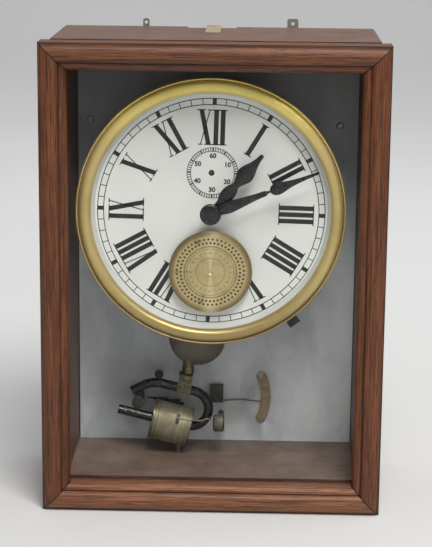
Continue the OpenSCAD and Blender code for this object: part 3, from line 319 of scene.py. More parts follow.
class Sheet:
    """A node tree under construction, of a material or of a group."""

    MEASURES = ("LENGTH", "DISTANCE", "DOT_PRODUCT")

    def __init__(self, tree: bpy.types.NodeTree) -> None:
        """Start on an emptied tree."""
        self.tree = tree
        self.tree.nodes.clear()

    def node(self, kind: str, inputs: dict | None = None, **settings: object) -> bpy.types.Node:
        """Add a node and set its properties and inputs.

        Args:
            kind: Type name of the node.
            inputs: Value or socket for each input, by name or number.
            **settings: Properties of the node.

        Returns:
            The new node.
        """
        made = self.tree.nodes.new(kind)
        for key, value in settings.items():
            setattr(made, key, value)
        for key, value in (inputs or {}).items():
            if isinstance(value, bpy.types.NodeSocket):
                self.tree.links.new(value, made.inputs[key])
            else:
                made.inputs[key].default_value = value
        return made

    def math(self, operation: str, *numbers: Value, clamp: bool = False) -> Socket:
        """Calculate with one, two or three numbers, kept within 0..1 if clamped."""
        inputs = dict(enumerate(numbers))
        return self.node("ShaderNodeMath", inputs, operation=operation, use_clamp=clamp).outputs[0]

    def vector(self, operation: str, *vectors: Value) -> Socket:
        """Calculate with one, two or three vectors, to a number for a measure."""
        made = self.node("ShaderNodeVectorMath", dict(enumerate(vectors)), operation=operation)
        return made.outputs["Value" if operation in self.MEASURES else "Vector"]

    def parts(self, vector: Socket) -> bpy.types.bpy_prop_collection:
        """Split a vector into X, Y and Z."""
        return self.node("ShaderNodeSeparateXYZ", {0: vector}).outputs

    def around(self, place: Socket, centre: Point3) -> tuple[Socket, Socket]:
        """Measure from a line along Y: the offset square to it, and its length."""
        flat = self.vector("MULTIPLY", self.vector("SUBTRACT", place, centre), (1.0, 0.0, 1.0))
        return flat, self.vector("LENGTH", flat)

    def mix(self, amount: Value, first: Value, second: Value) -> Socket:
        """Mix two colours."""
        inputs = {0: amount, 6: first, 7: second}
        return self.node("ShaderNodeMix", inputs, data_type="RGBA").outputs[2]

    def tint(self, colour: Value, over: Value, mask: Value, strength: float) -> Socket:
        """Lay one colour over another where a mask says, up to a strength."""
        return self.mix(self.math("MULTIPLY", mask, strength), colour, over)

    def ramp(self, value: Value, low: float, high: float) -> Socket:
        """Stretch a value to 0..1, clamped and eased.

        Args:
            value: The value.
            low: What becomes 0.
            high: What becomes 1.

        Returns:
            The stretched value.
        """
        inputs = {"Value": value, "From Min": low, "From Max": high}
        made = self.node("ShaderNodeMapRange", inputs, interpolation_type="SMOOTHSTEP")
        return made.outputs["Result"]

    def fade(self, value: Value, near: float, far: float) -> Socket:
        """Give 1 up to near and 0 beyond far."""
        return self.math("SUBTRACT", 1.0, self.ramp(value, near, far))

    def noise(self, place: Value, scale: Value, detail: float = 4.0, rough: float = 0.55) -> Socket:
        """Add a noise texture and return its value."""
        inputs = {"Vector": place, "Scale": scale, "Detail": detail, "Roughness": rough}
        return self.node("ShaderNodeTexNoise", inputs).outputs[0]

    def streaks(self, place: Socket, factors: Point3, detail: float, rough: float) -> Socket:
        """Add noise at unit scale in a space stretched by three factors."""
        return self.noise(self.vector("MULTIPLY", place, factors), 1.0, detail, rough)

    def bump(self, height: Value, strength: float, distance: float) -> Socket:
        """Turn a height into a normal."""
        inputs = {"Strength": strength, "Distance": distance, "Height": height}
        return self.node("ShaderNodeBump", inputs).outputs[0]

    def effect(
        self, group: bpy.types.NodeTree, place: Socket, **values: float
    ) -> bpy.types.bpy_prop_collection:
        """Place a shared effect in this tree with its own values."""
        inputs = {"Vector": place, **values}
        return self.node("ShaderNodeGroup", inputs, node_tree=group).outputs

    def end_group(self, outputs: dict[str, Socket]) -> bpy.types.NodeTree:
        """Connect a group's outputs and return the group."""
        self.node("NodeGroupOutput", outputs)
        return self.tree


def new_group(name: str, values: dict[str, float], outputs: Iterable[str]) -> Sheet:
    """Make a node group that reads a vector and some values.

    Args:
        name: Name of the group.
        values: Default of each input besides Vector.
        outputs: Name of each output, all plain values.

    Returns:
        The group's empty sheet.
    """
    group = bpy.data.node_groups.new(name, "ShaderNodeTree")
    add = group.interface.new_socket
    add(name="Vector", in_out="INPUT", socket_type="NodeSocketVector")
    for label, value in values.items():
        add(name=label, in_out="INPUT", socket_type="NodeSocketFloat").default_value = value
    for label in outputs:
        add(name=label, in_out="OUTPUT", socket_type="NodeSocketFloat")
    return Sheet(group)


class Effects:
    """Node groups that several finishes share, each built once."""

    @staticmethod
    @cache
    def grain() -> bpy.types.NodeTree:
        """Build wood grain along X.

        Returns:
            The group: broad streaks, fine fibres and short dark pores.
        """
        sheet = new_group("wood_grain", {}, ("Streak", "Fibre", "Pore"))
        entry = sheet.node("NodeGroupInput").outputs["Vector"]
        sway = sheet.noise(entry, 3.0, 2.0)
        bent = sheet.vector("MULTIPLY_ADD", sway, (0.0, 0.02, 0.02), entry)
        streak = sheet.streaks(bent, (2.6, 90.0, 90.0), 5.0, 0.62)
        fibre = sheet.streaks(entry, (14.0, 760.0, 760.0), 4.0, 0.6)
        pore = sheet.streaks(entry, (44.0, 1150.0, 1150.0), 2.0, 0.5)
        return sheet.end_group({
            "Streak": sheet.ramp(streak, 0.34, 0.66),
            "Fibre": sheet.ramp(fibre, 0.38, 0.64),
            "Pore": sheet.ramp(pore, 0.53, 0.64),
        })

    @staticmethod
    @cache
    def patina() -> bpy.types.NodeTree:
        """Build the tarnish of metal.

        Returns:
            The group: cloudy stains and fine wiped scratches.
        """
        sheet = new_group("metal_patina", {"Scale": 40.0}, ("Stain", "Scratch"))
        entry = sheet.node("NodeGroupInput").outputs
        cloud = sheet.noise(entry["Vector"], entry["Scale"], 6.0, 0.66)
        scratch = sheet.streaks(entry["Vector"], (90.0, 90.0, 2400.0), 3.0, 0.6)
        return sheet.end_group({
            "Stain": sheet.ramp(cloud, 0.4, 0.68),
            "Scratch": sheet.ramp(scratch, 0.35, 0.75),
        })

    @staticmethod
    @cache
    def dust() -> bpy.types.NodeTree:
        """Build dust that settles on faces that look up, thicker in patches.

        Returns:
            The group.
        """
        sheet = new_group("settled_dust", {"Amount": 0.5}, ("Dust",))
        entry = sheet.node("NodeGroupInput").outputs
        facing = sheet.parts(sheet.node("ShaderNodeNewGeometry").outputs["Normal"])
        up = sheet.ramp(facing["Z"], 0.35, 0.95)
        patch = sheet.ramp(sheet.noise(entry["Vector"], 24.0, 6.0, 0.75), 0.15, 0.8)
        settled = sheet.math("MULTIPLY", up, patch)
        amount = sheet.math("MULTIPLY", settled, entry["Amount"], clamp=True)
        return sheet.end_group({"Dust": amount})

    @staticmethod
    @cache
    def wear() -> bpy.types.NodeTree:
        """Build the wear of outward edges and painted shade in inner corners.

        Returns:
            The group.
        """
        sheet = new_group("edge_wear_and_corner_shade", {"Reach": 2 * MM}, ("Edge", "Corner"))
        entry = sheet.node("NodeGroupInput").outputs
        reach = {"Distance": entry["Reach"]}
        inner = sheet.node("ShaderNodeAmbientOcclusion", reach, samples=4, inside=True)
        outer = sheet.node("ShaderNodeAmbientOcclusion", reach, samples=4)
        broken = sheet.ramp(sheet.noise(entry["Vector"], 160.0, 4.0, 0.7), 0.35, 0.65)
        edge = sheet.math("SUBTRACT", 1.0, inner.outputs["AO"])
        return sheet.end_group({
            "Edge": sheet.math("MULTIPLY", edge, broken, clamp=True),
            # Corner is painted shade: the darkness that ambient occlusion finds in inner corners.
            "Corner": sheet.math("SUBTRACT", 1.0, outer.outputs["AO"], clamp=True),
        })


class GrainAxis(Enum):
    """Which way the fibres of a board run."""

    ACROSS = (0.0, 0.0, 0.0)
    UPRIGHT = (0.0, math.pi / 2, 0.0)


@dataclass(frozen=True)
class Finish:
    """A finish that builds its material once."""

    name: str

    def build(self) -> bpy.types.Material:
        """Build the material.

        Returns:
            The material, its patterns on Object coordinates.
        """
        material = bpy.data.materials.new(self.name)
        material.use_nodes = True
        sheet = Sheet(material.node_tree)
        place = sheet.node("ShaderNodeTexCoord").outputs["Object"]
        sheet.node("ShaderNodeOutputMaterial", {"Surface": self.shader(sheet, place).outputs[0]})
        return material

    def shader(self, sheet: Sheet, place: Socket) -> bpy.types.Node:
        """Add the surface shader with the inputs of this finish."""
        return sheet.node("ShaderNodeBsdfPrincipled", self.surface(sheet, place))

    def surface(self, sheet: Sheet, place: Socket) -> dict[str, Value]:
        """Work out the value or socket for each of the shader's inputs, by name."""
        raise NotImplementedError


@dataclass(frozen=True)
class Wood(Finish):
    """Oiled reddish-brown wood with open pores."""

    axis: GrainAxis = GrainAxis.ACROSS
    offset: Point3 = (0.0, 0.0, 0.0)
    dark: Colour = shade(50, 23, 12)
    body: Colour = shade(96, 50, 27)
    pale: Colour = shade(150, 90, 50)
    dusty: float = 0.04
    corner_shade_strength: float = 0.8
    roughness: float = 0.36
    door: tuple[Point3, Point3] | None = None
    pore: Colour = shade(26, 13, 8)
    worn: Colour = shade(150, 98, 66)
    # Colour of the painted shade in inner corners.
    corner_shade: Colour = shade(20, 11, 8)
    # Colour of the open mitres and of the painted shade along the door's outer edge.
    joint: Colour = shade(14, 9, 7)
    dust: Colour = shade(178, 158, 146)

    def surface(self, sheet: Sheet, place: Socket) -> dict[str, Value]:
        """Layer grain, wear, painted shade in inner corners, joints, painted shade along the door's
        outer edge and dust.

        Args:
            sheet: The material's nodes.
            place: Object coordinates.

        Returns:
            The shader's inputs.
        """
        spin = {"Vector": place, "Location": self.offset, "Rotation": self.axis.value}
        grain = sheet.effect(Effects.grain(), sheet.node("ShaderNodeMapping", spin).outputs[0])
        streak = sheet.math("MULTIPLY_ADD", grain["Streak"], 0.6, 0.34)
        colour = sheet.mix(streak, self.dark, self.body)
        colour = sheet.tint(colour, self.pale, grain["Fibre"], 0.5)
        colour = sheet.tint(colour, self.pore, grain["Pore"], 0.62)
        wear = sheet.effect(Effects.wear(), place)
        colour = sheet.tint(colour, self.worn, wear["Edge"], 0.35)
        # Painted shade: inner corners darkened where ambient occlusion finds them.
        colour = sheet.tint(colour, self.corner_shade, wear["Corner"], self.corner_shade_strength)
        if self.door:
            colour = sheet.mix(self.joints_and_edge_shade(sheet, place), colour, self.joint)
        dust = sheet.effect(Effects.dust(), place, Amount=self.dusty)
        colour = sheet.mix(dust["Dust"], colour, self.dust)
        height = sheet.math("SUBTRACT", sheet.math("MULTIPLY", grain["Fibre"], 0.4), grain["Pore"])
        return {
            "Base Color": colour,
            "Roughness": sheet.math("MULTIPLY_ADD", grain["Fibre"], 0.16, self.roughness),
            "Normal": sheet.bump(height, 0.25, 0.4 * MM),
            "Specular IOR Level": 0.38,
            "Coat Weight": 0.05,
            "Coat Roughness": 0.3,
        }

    def joints_and_edge_shade(self, sheet: Sheet, place: Socket) -> Socket:
        """Find the open mitres at the door's corners and the painted shade along its outer edge.

        Args:
            sheet: The material's nodes.
            place: Object coordinates.

        Returns:
            How dark the mitres and the painted edge shade are.
        """
        low, high = self.door
        parts = sheet.parts(place)
        side = sheet.math("SUBTRACT", high[0], sheet.math("ABSOLUTE", parts["X"]))
        below = sheet.math("SUBTRACT", parts["Z"], low[2])
        above = sheet.math("SUBTRACT", high[2], parts["Z"])
        edge = sheet.math("MINIMUM", below, above)
        away = sheet.math("ABSOLUTE", sheet.math("SUBTRACT", side, edge))
        mitre = sheet.fade(away, 0.45 * MM, 1.3 * MM)
        # Painted shade: a dark line just inside the door's outer edge stands in for the shadow of
        # the gap round the door.
        outer = sheet.math("MINIMUM", side, edge)
        fading = sheet.fade(outer, 0.4 * MM, 1.5 * MM)
        edge_shade = sheet.math("MULTIPLY", fading, sheet.ramp(outer, 0.02 * MM, 0.12 * MM))
        return sheet.math("MAXIMUM", mitre, sheet.math("MULTIPLY", edge_shade, 0.75))


@dataclass(frozen=True)
class Metal(Finish):
    """Metal with stains and scratches."""

    bright: Colour = shade(200, 170, 105)
    stained: Colour = shade(120, 92, 50)
    roughness: float = 0.3
    stain: float = 0.5
    scale: float = 40.0
    metallic: float = 1.0
    dusty: float = 0.0
    dust: Colour = shade(160, 154, 142)

    def surface(self, sheet: Sheet, place: Socket) -> dict[str, Value]:
        """Stain and scratch the metal.

        Args:
            sheet: The material's nodes.
            place: Object coordinates.

        Returns:
            The shader's inputs.
        """
        patina = sheet.effect(Effects.patina(), place, Scale=self.scale)
        stain = sheet.math("MULTIPLY", patina["Stain"], self.stain)
        colour = sheet.mix(stain, self.bright, self.stained)
        if self.dusty > 0:
            dust = sheet.effect(Effects.dust(), place, Amount=self.dusty)
            colour = sheet.mix(dust["Dust"], colour, self.dust)
        height = sheet.math("MULTIPLY_ADD", patina["Scratch"], 0.4, stain)
        return {
            "Base Color": colour,
            "Metallic": self.metallic,
            "Roughness": sheet.math("MULTIPLY_ADD", stain, 0.3, self.roughness),
            "Normal": sheet.bump(height, 0.08, 0.2 * MM),
        }


@dataclass(frozen=True)
class TurnedBrass(Finish):
    """Brass turned on a lathe about a line along Y, stained brown near the rim."""

    centre: Point3 = (0.0, 0.0, 0.0)
    rim: float = 44.6 * MM
    bright: Colour = shade(204, 184, 136)
    brown: Colour = shade(88, 70, 48)
    painted_glint: Colour = shade(244, 230, 186)
    spot: Colour = shade(64, 40, 26)
    furrow: Colour = shade(150, 122, 74)
    spots: tuple = (
        (-14.5 * MM, 33.0 * MM, 5.5 * MM),
        (-10.0 * MM, -33.0 * MM, 5.0 * MM),
        (-36.0 * MM, 0.0, 4.0 * MM),
    )

    def surface(self, sheet: Sheet, place: Socket) -> dict[str, Value]:
        """Turn rings, stain the rim, spot the face and paint a highlight above and below the
        centre.

        Args:
            sheet: The material's nodes.
            place: Object coordinates.

        Returns:
            The shader's inputs.
        """
        flat, radius = sheet.around(place, self.centre)
        wave = {"W": sheet.math("MULTIPLY", radius, 2600.0), "Scale": 1.0, "Detail": 3.0}
        rings = sheet.node("ShaderNodeTexNoise", wave, noise_dimensions="1D").outputs[0]
        patina = sheet.effect(Effects.patina(), place, Scale=90.0)
        edge = sheet.math("MULTIPLY", sheet.ramp(radius, self.rim * 0.8, self.rim * 0.97), 0.75)
        stain = sheet.math("MAXIMUM", edge, sheet.math("MULTIPLY", patina["Stain"], 0.22))
        colour = sheet.mix(stain, self.bright, self.brown)
        patchy = sheet.ramp(sheet.noise(place, 300.0, 4.0, 0.7), 0.35, 0.6)
        for across, up, reach in self.spots:
            near = sheet.fade(sheet.vector("DISTANCE", flat, (across, 0.0, up)), 0.0, reach)
            colour = sheet.mix(sheet.math("MULTIPLY", near, patchy), colour, self.spot)
        # Painted highlight: a bright wedge above and below the centre stands in for the glint of
        # the lathe's rings.
        beyond_zero = sheet.math("ADD", radius, 0.5 * MM)
        lean = sheet.math("ABSOLUTE", sheet.math("DIVIDE", sheet.parts(flat)["X"], beyond_zero))
        colour = sheet.tint(colour, self.painted_glint, sheet.fade(lean, 0.0, 0.32), 0.5)
        turned = sheet.ramp(rings, 0.3, 0.7)
        return {
            "Base Color": sheet.tint(colour, self.furrow, turned, 0.25),
            "Metallic": 0.85,
            "Roughness": sheet.math("MULTIPLY_ADD", turned, 0.12, 0.3),
            "Normal": sheet.bump(turned, 0.2, 0.1 * MM),
        }


@dataclass(frozen=True)
class BezelBrass(Finish):
    """Lacquered brass rim with a silvered inner wall, a dark line of painted shade in its groove,
    painted shade low on the ring and painted light high on it.
    """

    centre: Point3 = (0.0, 0.0, 0.0)
    wall: float = 126.9 * MM
    groove: Point2 = (140.1 * MM, 141.0 * MM)
    bright: Colour = shade(200, 177, 118)
    deep: Colour = shade(176, 151, 94)
    silver: Colour = shade(214, 214, 209)
    # tarnished is painted shade for the ring's bottom; rubbed is painted light for its top.
    tarnished: Colour = shade(118, 96, 58)
    rubbed: Colour = shade(252, 228, 126)
    speck: Colour = shade(120, 92, 50)
    shadow: Colour = shade(96, 74, 40)

    def surface(self, sheet: Sheet, place: Socket) -> dict[str, Value]:
        """Paint shade on the ring's bottom and light on its top by height, then colour its wall and
        shade its groove by radius.

        Args:
            sheet: The material's nodes.
            place: Object coordinates.

        Returns:
            The shader's inputs.
        """
        flat, radius = sheet.around(place, self.centre)
        stain = sheet.effect(Effects.patina(), place, Scale=26.0)["Stain"]
        specks = sheet.ramp(sheet.noise(place, 320.0, 3.0, 0.7), 0.62, 0.72)
        colour = sheet.tint(self.bright, self.deep, stain, 0.5)
        colour = sheet.tint(colour, self.speck, specks, 0.3)
        # Painted shade darkens the ring's bottom and painted light brightens its top.
        height = sheet.parts(flat)["Z"]
        foot = sheet.fade(height, -136 * MM, -50 * MM)
        colour = sheet.tint(colour, self.tarnished, foot, 0.55)
        head = sheet.ramp(height, 50 * MM, 136 * MM)
        colour = sheet.tint(colour, self.rubbed, head, 0.75)
        walls = sheet.ramp(radius, self.wall, self.wall + 0.3 * MM)
        colour = sheet.mix(walls, self.silver, colour)
        # Painted shade: a dark line in the groove.
        inside = sheet.ramp(radius, self.groove[0], self.groove[0] + 0.2 * MM)
        beyond = sheet.ramp(radius, self.groove[1] - 0.2 * MM, self.groove[1])
        line = sheet.math("SUBTRACT", inside, beyond)
        return {
            "Base Color": sheet.tint(colour, self.shadow, line, 0.3),
            "Metallic": sheet.math("MULTIPLY_ADD", walls, 0.35, 0.15),
            "Roughness": sheet.math("MULTIPLY_ADD", stain, 0.08, 0.4),
        }


@dataclass(frozen=True)
class Marble(Finish):
    """Honed pale grey marble with faint slanting veins and painted shade towards its top."""

    ground: Colour = shade(240, 243, 246)
    cloud: Colour = shade(194, 200, 207)
    vein: Colour = shade(146, 150, 156)
    top_shade: Colour = shade(92, 86, 80)
    top_shade_span: Point2 = (330 * MM, 480 * MM)

    def surface(self, sheet: Sheet, place: Socket) -> dict[str, Value]:
        """Cloud and vein the marble and paint shade towards its top.

        Args:
            sheet: The material's nodes.
            place: Object coordinates.

        Returns:
            The shader's inputs.
        """
        swirl = {"Vector": place, "Scale": 7.0, "Detail": 5.0, "Roughness": 0.6}
        warp = sheet.node("ShaderNodeTexNoise", swirl).outputs["Color"]
        bent = sheet.vector("MULTIPLY_ADD", warp, (0.09, 0.09, 0.09), place)
        slant = {"Vector": bent, "Rotation": (0.0, 0.7, 0.0), "Scale": (1.0, 1.0, 0.35)}
        slanted = sheet.node("ShaderNodeMapping", slant).outputs[0]
        crack = {"Vector": slanted, "Scale": 13.0}
        cells = sheet.node("ShaderNodeTexVoronoi", crack, feature="DISTANCE_TO_EDGE")
        vein = sheet.fade(cells.outputs["Distance"], 0.0, 0.11)
        broken = sheet.ramp(sheet.noise(place, 9.0, 3.0), 0.4, 0.7)
        cloud = sheet.ramp(sheet.noise(slanted, 14.0, 6.0, 0.6), 0.32, 0.7)
        colour = sheet.mix(cloud, self.ground, self.cloud)
        colour = sheet.tint(colour, self.vein, sheet.math("MULTIPLY", vein, broken), 0.45)
        # Painted shade: the slab darkens towards its top, where the case's top shades it.
        risen = sheet.ramp(sheet.parts(place)["Z"], *self.top_shade_span)
        colour = sheet.tint(colour, self.top_shade, risen, 0.6)
        return {"Base Color": colour, "Roughness": 0.42, "Specular IOR Level": 0.4}


@dataclass(frozen=True)
class Enamel(Finish):
    """Glossy vitreous enamel or ink of one colour with slight unevenness."""

    colour: Colour = shade(226, 226, 222)
    tint: Colour = shade(213, 214, 209)
    roughness: float = 0.22

    def surface(self, sheet: Sheet, place: Socket) -> dict[str, Value]:
        """Cloud and ripple the enamel.

        Args:
            sheet: The material's nodes.
            place: Object coordinates.

        Returns:
            The shader's inputs.
        """
        cloud = sheet.ramp(sheet.noise(place, 22.0, 5.0, 0.6), 0.3, 0.75)
        return {
            "Base Color": sheet.tint(self.colour, self.tint, cloud, 0.5),
            "Roughness": self.roughness,
            "Normal": sheet.bump(sheet.noise(place, 30.0, 2.0), 0.03, 1.0 * MM),
        }


@dataclass(frozen=True)
class BlackEnamel(Finish):
    """Black gloss paint with fine dust and rubbed spots."""

    colour: Colour = shade(9, 10, 13)
    rubbed: Colour = shade(52, 50, 48)
    roughness: float = 0.26
    coat: float = 0.35
    wear: float = 0.08

    def surface(self, sheet: Sheet, place: Socket) -> dict[str, Value]:
        """Rub the paint in spots.

        Args:
            sheet: The material's nodes.
            place: Object coordinates.

        Returns:
            The shader's inputs.
        """
        stain = sheet.effect(Effects.patina(), place, Scale=160.0)["Stain"]
        return {
            "Base Color": sheet.tint(self.colour, self.rubbed, stain, self.wear),
            "Roughness": sheet.math("MULTIPLY_ADD", stain, self.wear, self.roughness),
            "Specular IOR Level": 0.35,
            "Coat Weight": self.coat,
            "Coat Roughness": 0.12,
        }


@dataclass(frozen=True)
class WindowGlass(Finish):
    """Clear window glass that lets light through to what is behind it."""

    def surface(self, sheet: Sheet, place: Socket) -> dict[str, Value]:
        """Give the pane's constants."""
        tint = (0.97, 0.99, 0.985, 1.0)
        return {"Base Color": tint, "Roughness": 0.01, "Transmission Weight": 1.0, "IOR": 1.14}

    def shader(self, sheet: Sheet, place: Socket) -> bpy.types.Node:
        """Mix the pane with plain transparency for shadow and diffuse rays.

        Args:
            sheet: The material's nodes.
            place: Object coordinates, not used.

        Returns:
            The mixed shader.
        """
        pane = super().shader(sheet, place)
        clear = sheet.node("ShaderNodeBsdfTransparent", {"Color": (0.985, 0.99, 0.988, 1.0)})
        rays = sheet.node("ShaderNodeLightPath").outputs
        passing = sheet.math("MAXIMUM", rays["Is Shadow Ray"], rays["Is Diffuse Ray"])
        both = {0: passing, 1: pane.outputs[0], 2: clear.outputs[0]}
        return sheet.node("ShaderNodeMixShader", both)


@dataclass(frozen=True)
class WoundSleeve(Finish):
    """Dull greenish brass sheet rolled into a sleeve, streaked round its axis."""

    slope: float = math.radians(13.5)
    centre: Point3 = (-48.3 * MM, 0.0, 63.4 * MM)
    dark_rings: Point3 = (-19.6 * MM, -16.9 * MM, 18.6 * MM)
    highlight_from: float = 20.2 * MM
    streaks: tuple[Colour, Colour] = (shade(124, 118, 94), shade(156, 150, 124))
    stain: Colour = shade(110, 98, 76)
    ring_tone: Colour = shade(58, 52, 38)
    # Colour of the painted highlight on the sleeve's rim.
    rim: Colour = shade(196, 188, 150)

    def surface(self, sheet: Sheet, place: Socket) -> dict[str, Value]:
        """Streak the sleeve, darken rings near its ends and paint a highlight on its rim.

        Args:
            sheet: The material's nodes.
            place: Object coordinates.

        Returns:
            The shader's inputs.
        """
        turn = {"Vector": place, "Rotation": (0.0, -self.slope, 0.0)}
        turned = sheet.node("ShaderNodeMapping", turn).outputs[0]
        streak = sheet.ramp(sheet.streaks(turned, (420.0, 14.0, 14.0), 5.0, 0.65), 0.3, 0.72)
        patch = sheet.ramp(sheet.noise(place, 55.0, 6.0, 0.7), 0.32, 0.72)
        colour = sheet.tint(sheet.mix(streak, *self.streaks), self.stain, patch, 0.6)
        offset = sheet.vector("SUBTRACT", place, self.centre)
        axis = (math.cos(self.slope), 0.0, -math.sin(self.slope))
        along = sheet.vector("DOT_PRODUCT", offset, axis)
        # Darker rings near the sleeve's ends.
        for ring in self.dark_rings:
            away = sheet.math("ABSOLUTE", sheet.math("SUBTRACT", along, ring))
            line = sheet.fade(away, 0.25 * MM, 0.7 * MM)
            colour = sheet.tint(colour, self.ring_tone, line, 0.75)
        # Painted highlight: a bright band on the rim past its start along the axis.
        beyond = sheet.ramp(along, self.highlight_from, self.highlight_from + 0.4 * MM)
        return {
            "Base Color": sheet.mix(beyond, colour, self.rim),
            "Metallic": 0.4,
            "Roughness": sheet.math("MULTIPLY_ADD", patch, 0.2, 0.5),
            "Normal": sheet.bump(streak, 0.2, 0.2 * MM),
        }


@dataclass(frozen=True)
class Paper(Finish):
    """Matt studio paper, faintly uneven."""

    tones: tuple[Colour, Colour] = (shade(228, 228, 228), shade(232, 232, 232))

    def surface(self, sheet: Sheet, place: Socket) -> dict[str, Value]:
        """Tone the paper."""
        cloud = sheet.ramp(sheet.noise(place, 0.8, 2.0), 0.3, 0.7)
        return {"Base Color": sheet.mix(cloud, *self.tones), "Roughness": 0.9}


# Sub-assemblies


@dataclass
class DialFace:
    """Ink on the enamelled dial: minute track, hour numerals and the seconds ring."""

    centre: Point2 = (ARBOR[0], 316.6 * MM)
    face_y: float = DIAL_Y
    ink: float = 0.08 * MM
    lift: float = 0.01 * MM
    turn_deg: float = 1.3
    track: Point2 = (114.7 * MM, 121.2 * MM)
    line: float = 0.95 * MM
    tick: Point2 = (0.9 * MM, 4.4 * MM)
    numeral: Point2 = (71.7 * MM, 109.4 * MM)
    thick: float = 5.0 * MM
    hair: float = 1.1 * MM
    serif_reach: float = 2.1 * MM
    hair_serif: float = 2.4 * MM
    advance: dict = field(default_factory=lambda: {"I": 7.1 * MM, "V": 13.4 * MM, "X": 16.3 * MM})
    nudge: dict = field(default_factory=lambda: {"XII": -2.2 * MM, "XI": -0.8 * MM})
    seconds_up: float = 41.9 * MM
    seconds_ring: Point2 = (23.2 * MM, 27.0 * MM)
    seconds_line: float = 0.64 * MM
    seconds_tick: Point2 = (0.85 * MM, 1.7 * MM)
    figures_at: float = 18.2 * MM
    figure_size: float = 7.0 * MM
    hours: tuple = ("XII", "I", "II", "III", "IIII", "V", "VI", "VII", "VIII", "IX", "X", "XI")

    def at(self, across: float, outward: float, angle_deg: float, up: float = 0.0) -> Point3:
        """Place a point given along and away from the centre on a ray.

        Args:
            across: Distance clockwise from the ray.
            outward: Distance along the ray.
            angle_deg: The ray's turn clockwise from twelve.
            up: How far above the dial's centre the ray starts.

        Returns:
            The point on the dial's face.
        """
        a = math.radians(angle_deg)
        x = outward * math.sin(a) + across * math.cos(a)
        z = outward * math.cos(a) - across * math.sin(a) + up
        t = math.radians(self.turn_deg)
        return (
            self.centre[0] + x * math.cos(t) + z * math.sin(t),
            self.face_y + self.lift,
            self.centre[1] - x * math.sin(t) + z * math.cos(t),
        )

    def stroke(self, corners: Sequence[Point2], angle_deg: float, up: float = 0.0) -> Piece:
        """Add one flat stroke from its corners, given across and outward."""
        return Bench.outline("stroke", [self.at(c[0], c[1], angle_deg, up) for c in corners])

    def ring(self, radius: float, width: float, up: float, sides: int) -> Piece:
        """Add a flat ring round the dial's centre or a point above it."""
        outer = radius + width / 2
        return Bench.ring([self.at(0, outer, 360 * i / sides, up) for i in range(sides)], width)

    def bar(self, foot: float, head: float, width: float, angle_deg: float) -> Piece:
        """Add a bar of a numeral.

        Args:
            foot: Place across of its foot.
            head: Place across of its head.
            width: Its width.
            angle_deg: The numeral's turn.

        Returns:
            The bar.
        """
        low, high = self.numeral
        half = width / 2
        corners = [(foot - half, low), (foot + half, low), (head + half, high), (head - half, high)]
        return self.stroke(corners, angle_deg)

    def serif(self, place: float, reach: float, at_head: bool, angle_deg: float) -> Piece:
        """Add the hairline across the foot or the head of a bar.

        Args:
            place: Its middle across.
            reach: How far it reaches to each side.
            at_head: Whether it is at the head.
            angle_deg: The numeral's turn.

        Returns:
            The hairline.
        """
        low = self.numeral[1] - self.hair if at_head else self.numeral[0]
        left, right, high = place - reach, place + reach, low + self.hair
        return self.stroke([(left, low), (right, low), (right, high), (left, high)], angle_deg)

    def numeral_strokes(self, letters: str, angle_deg: float) -> list[Piece]:
        """Set the letters of one hour side by side across its ray.

        Args:
            letters: The numeral.
            angle_deg: The ray's turn.

        Returns:
            Its bars and hairlines.
        """
        across = self.nudge.get(letters, 0.0) - sum(self.advance[letter] for letter in letters) / 2
        strokes = []
        reach = self.thick / 2 + self.serif_reach
        for letter in letters:
            step = self.advance[letter]
            mid = across + step / 2
            lean = step / 2 - self.thick * 0.8
            left, right = mid - lean, mid + lean
            if letter == "I":
                bars = [(mid, mid, self.thick)]
                serifs = [(mid, reach, False), (mid, reach, True)]
            elif letter == "V":
                left, right = left - 1.0 * MM, right + 1.4 * MM
                bars = [(mid + 0.6 * MM, left, self.thick), (mid + 1.4 * MM, right, self.hair)]
                serifs = [(left, reach, True), (right, self.hair_serif, True)]
            else:
                foot, head = left - 0.4 * MM, right + 0.8 * MM
                bars = [(right, left, self.thick), (foot, head, self.hair)]
                serifs = [(right, reach, False), (left, reach, True)]
                serifs += [(foot, self.hair_serif, False), (head, self.hair_serif, True)]
            strokes += [self.bar(*bar, angle_deg) for bar in bars]
            strokes += [self.serif(*serif, angle_deg) for serif in serifs]
            across += step
        return strokes

    def ticks(self, span: Point2, widths: Point2, up: float) -> list[Piece]:
        """Add sixty ticks between two radii.

        Args:
            span: Inner and outer radius.
            widths: Width of a tick, and of each fifth one.
            up: How far above the dial's centre their circle is.

        Returns:
            The ticks.
        """
        made = []
        low, high = span
        middle = self.at(0, 0, 0, up)
        minutes = ([m for m in range(60) if m % 5], range(0, 60, 5))
        for width, marks in zip(widths, minutes):
            half = width / 2
            tick = self.stroke([(-half, low), (half, low), (half, high), (-half, high)], 0, up)
            made += Bench.copies(tick, [Bench.about(middle, 6 * minute) for minute in marks])
        return made

    def inked(self, name: str, strokes: Sequence[Piece]) -> Piece:
        """Join strokes, give them their thickness and seat them on the dial.

        Args:
            name: Name of the printed piece.
            strokes: What it consists of.

        Returns:
            The printed piece.
        """
        piece = Bench.join(name, strokes)
        Bench.thicken(piece, self.ink + self.lift)
        return piece

    def seconds_figures(self) -> list[Piece]:
        """Set the tens of seconds upright inside the seconds ring.

        Returns:
            The figures.
        """
        figures = []
        for i, text in enumerate(("60", "10", "20", "30", "40", "50")):
            label = Bench.label(text, self.figure_size, 4, 0.0003)
            spot = Vector(self.at(0, self.figures_at, 60 * i, self.seconds_up))
            label.data.transform(Matrix.Translation(spot) @ Matrix.Rotation(math.pi / 2, 4, "X"))
            figures.append(label)
        return figures

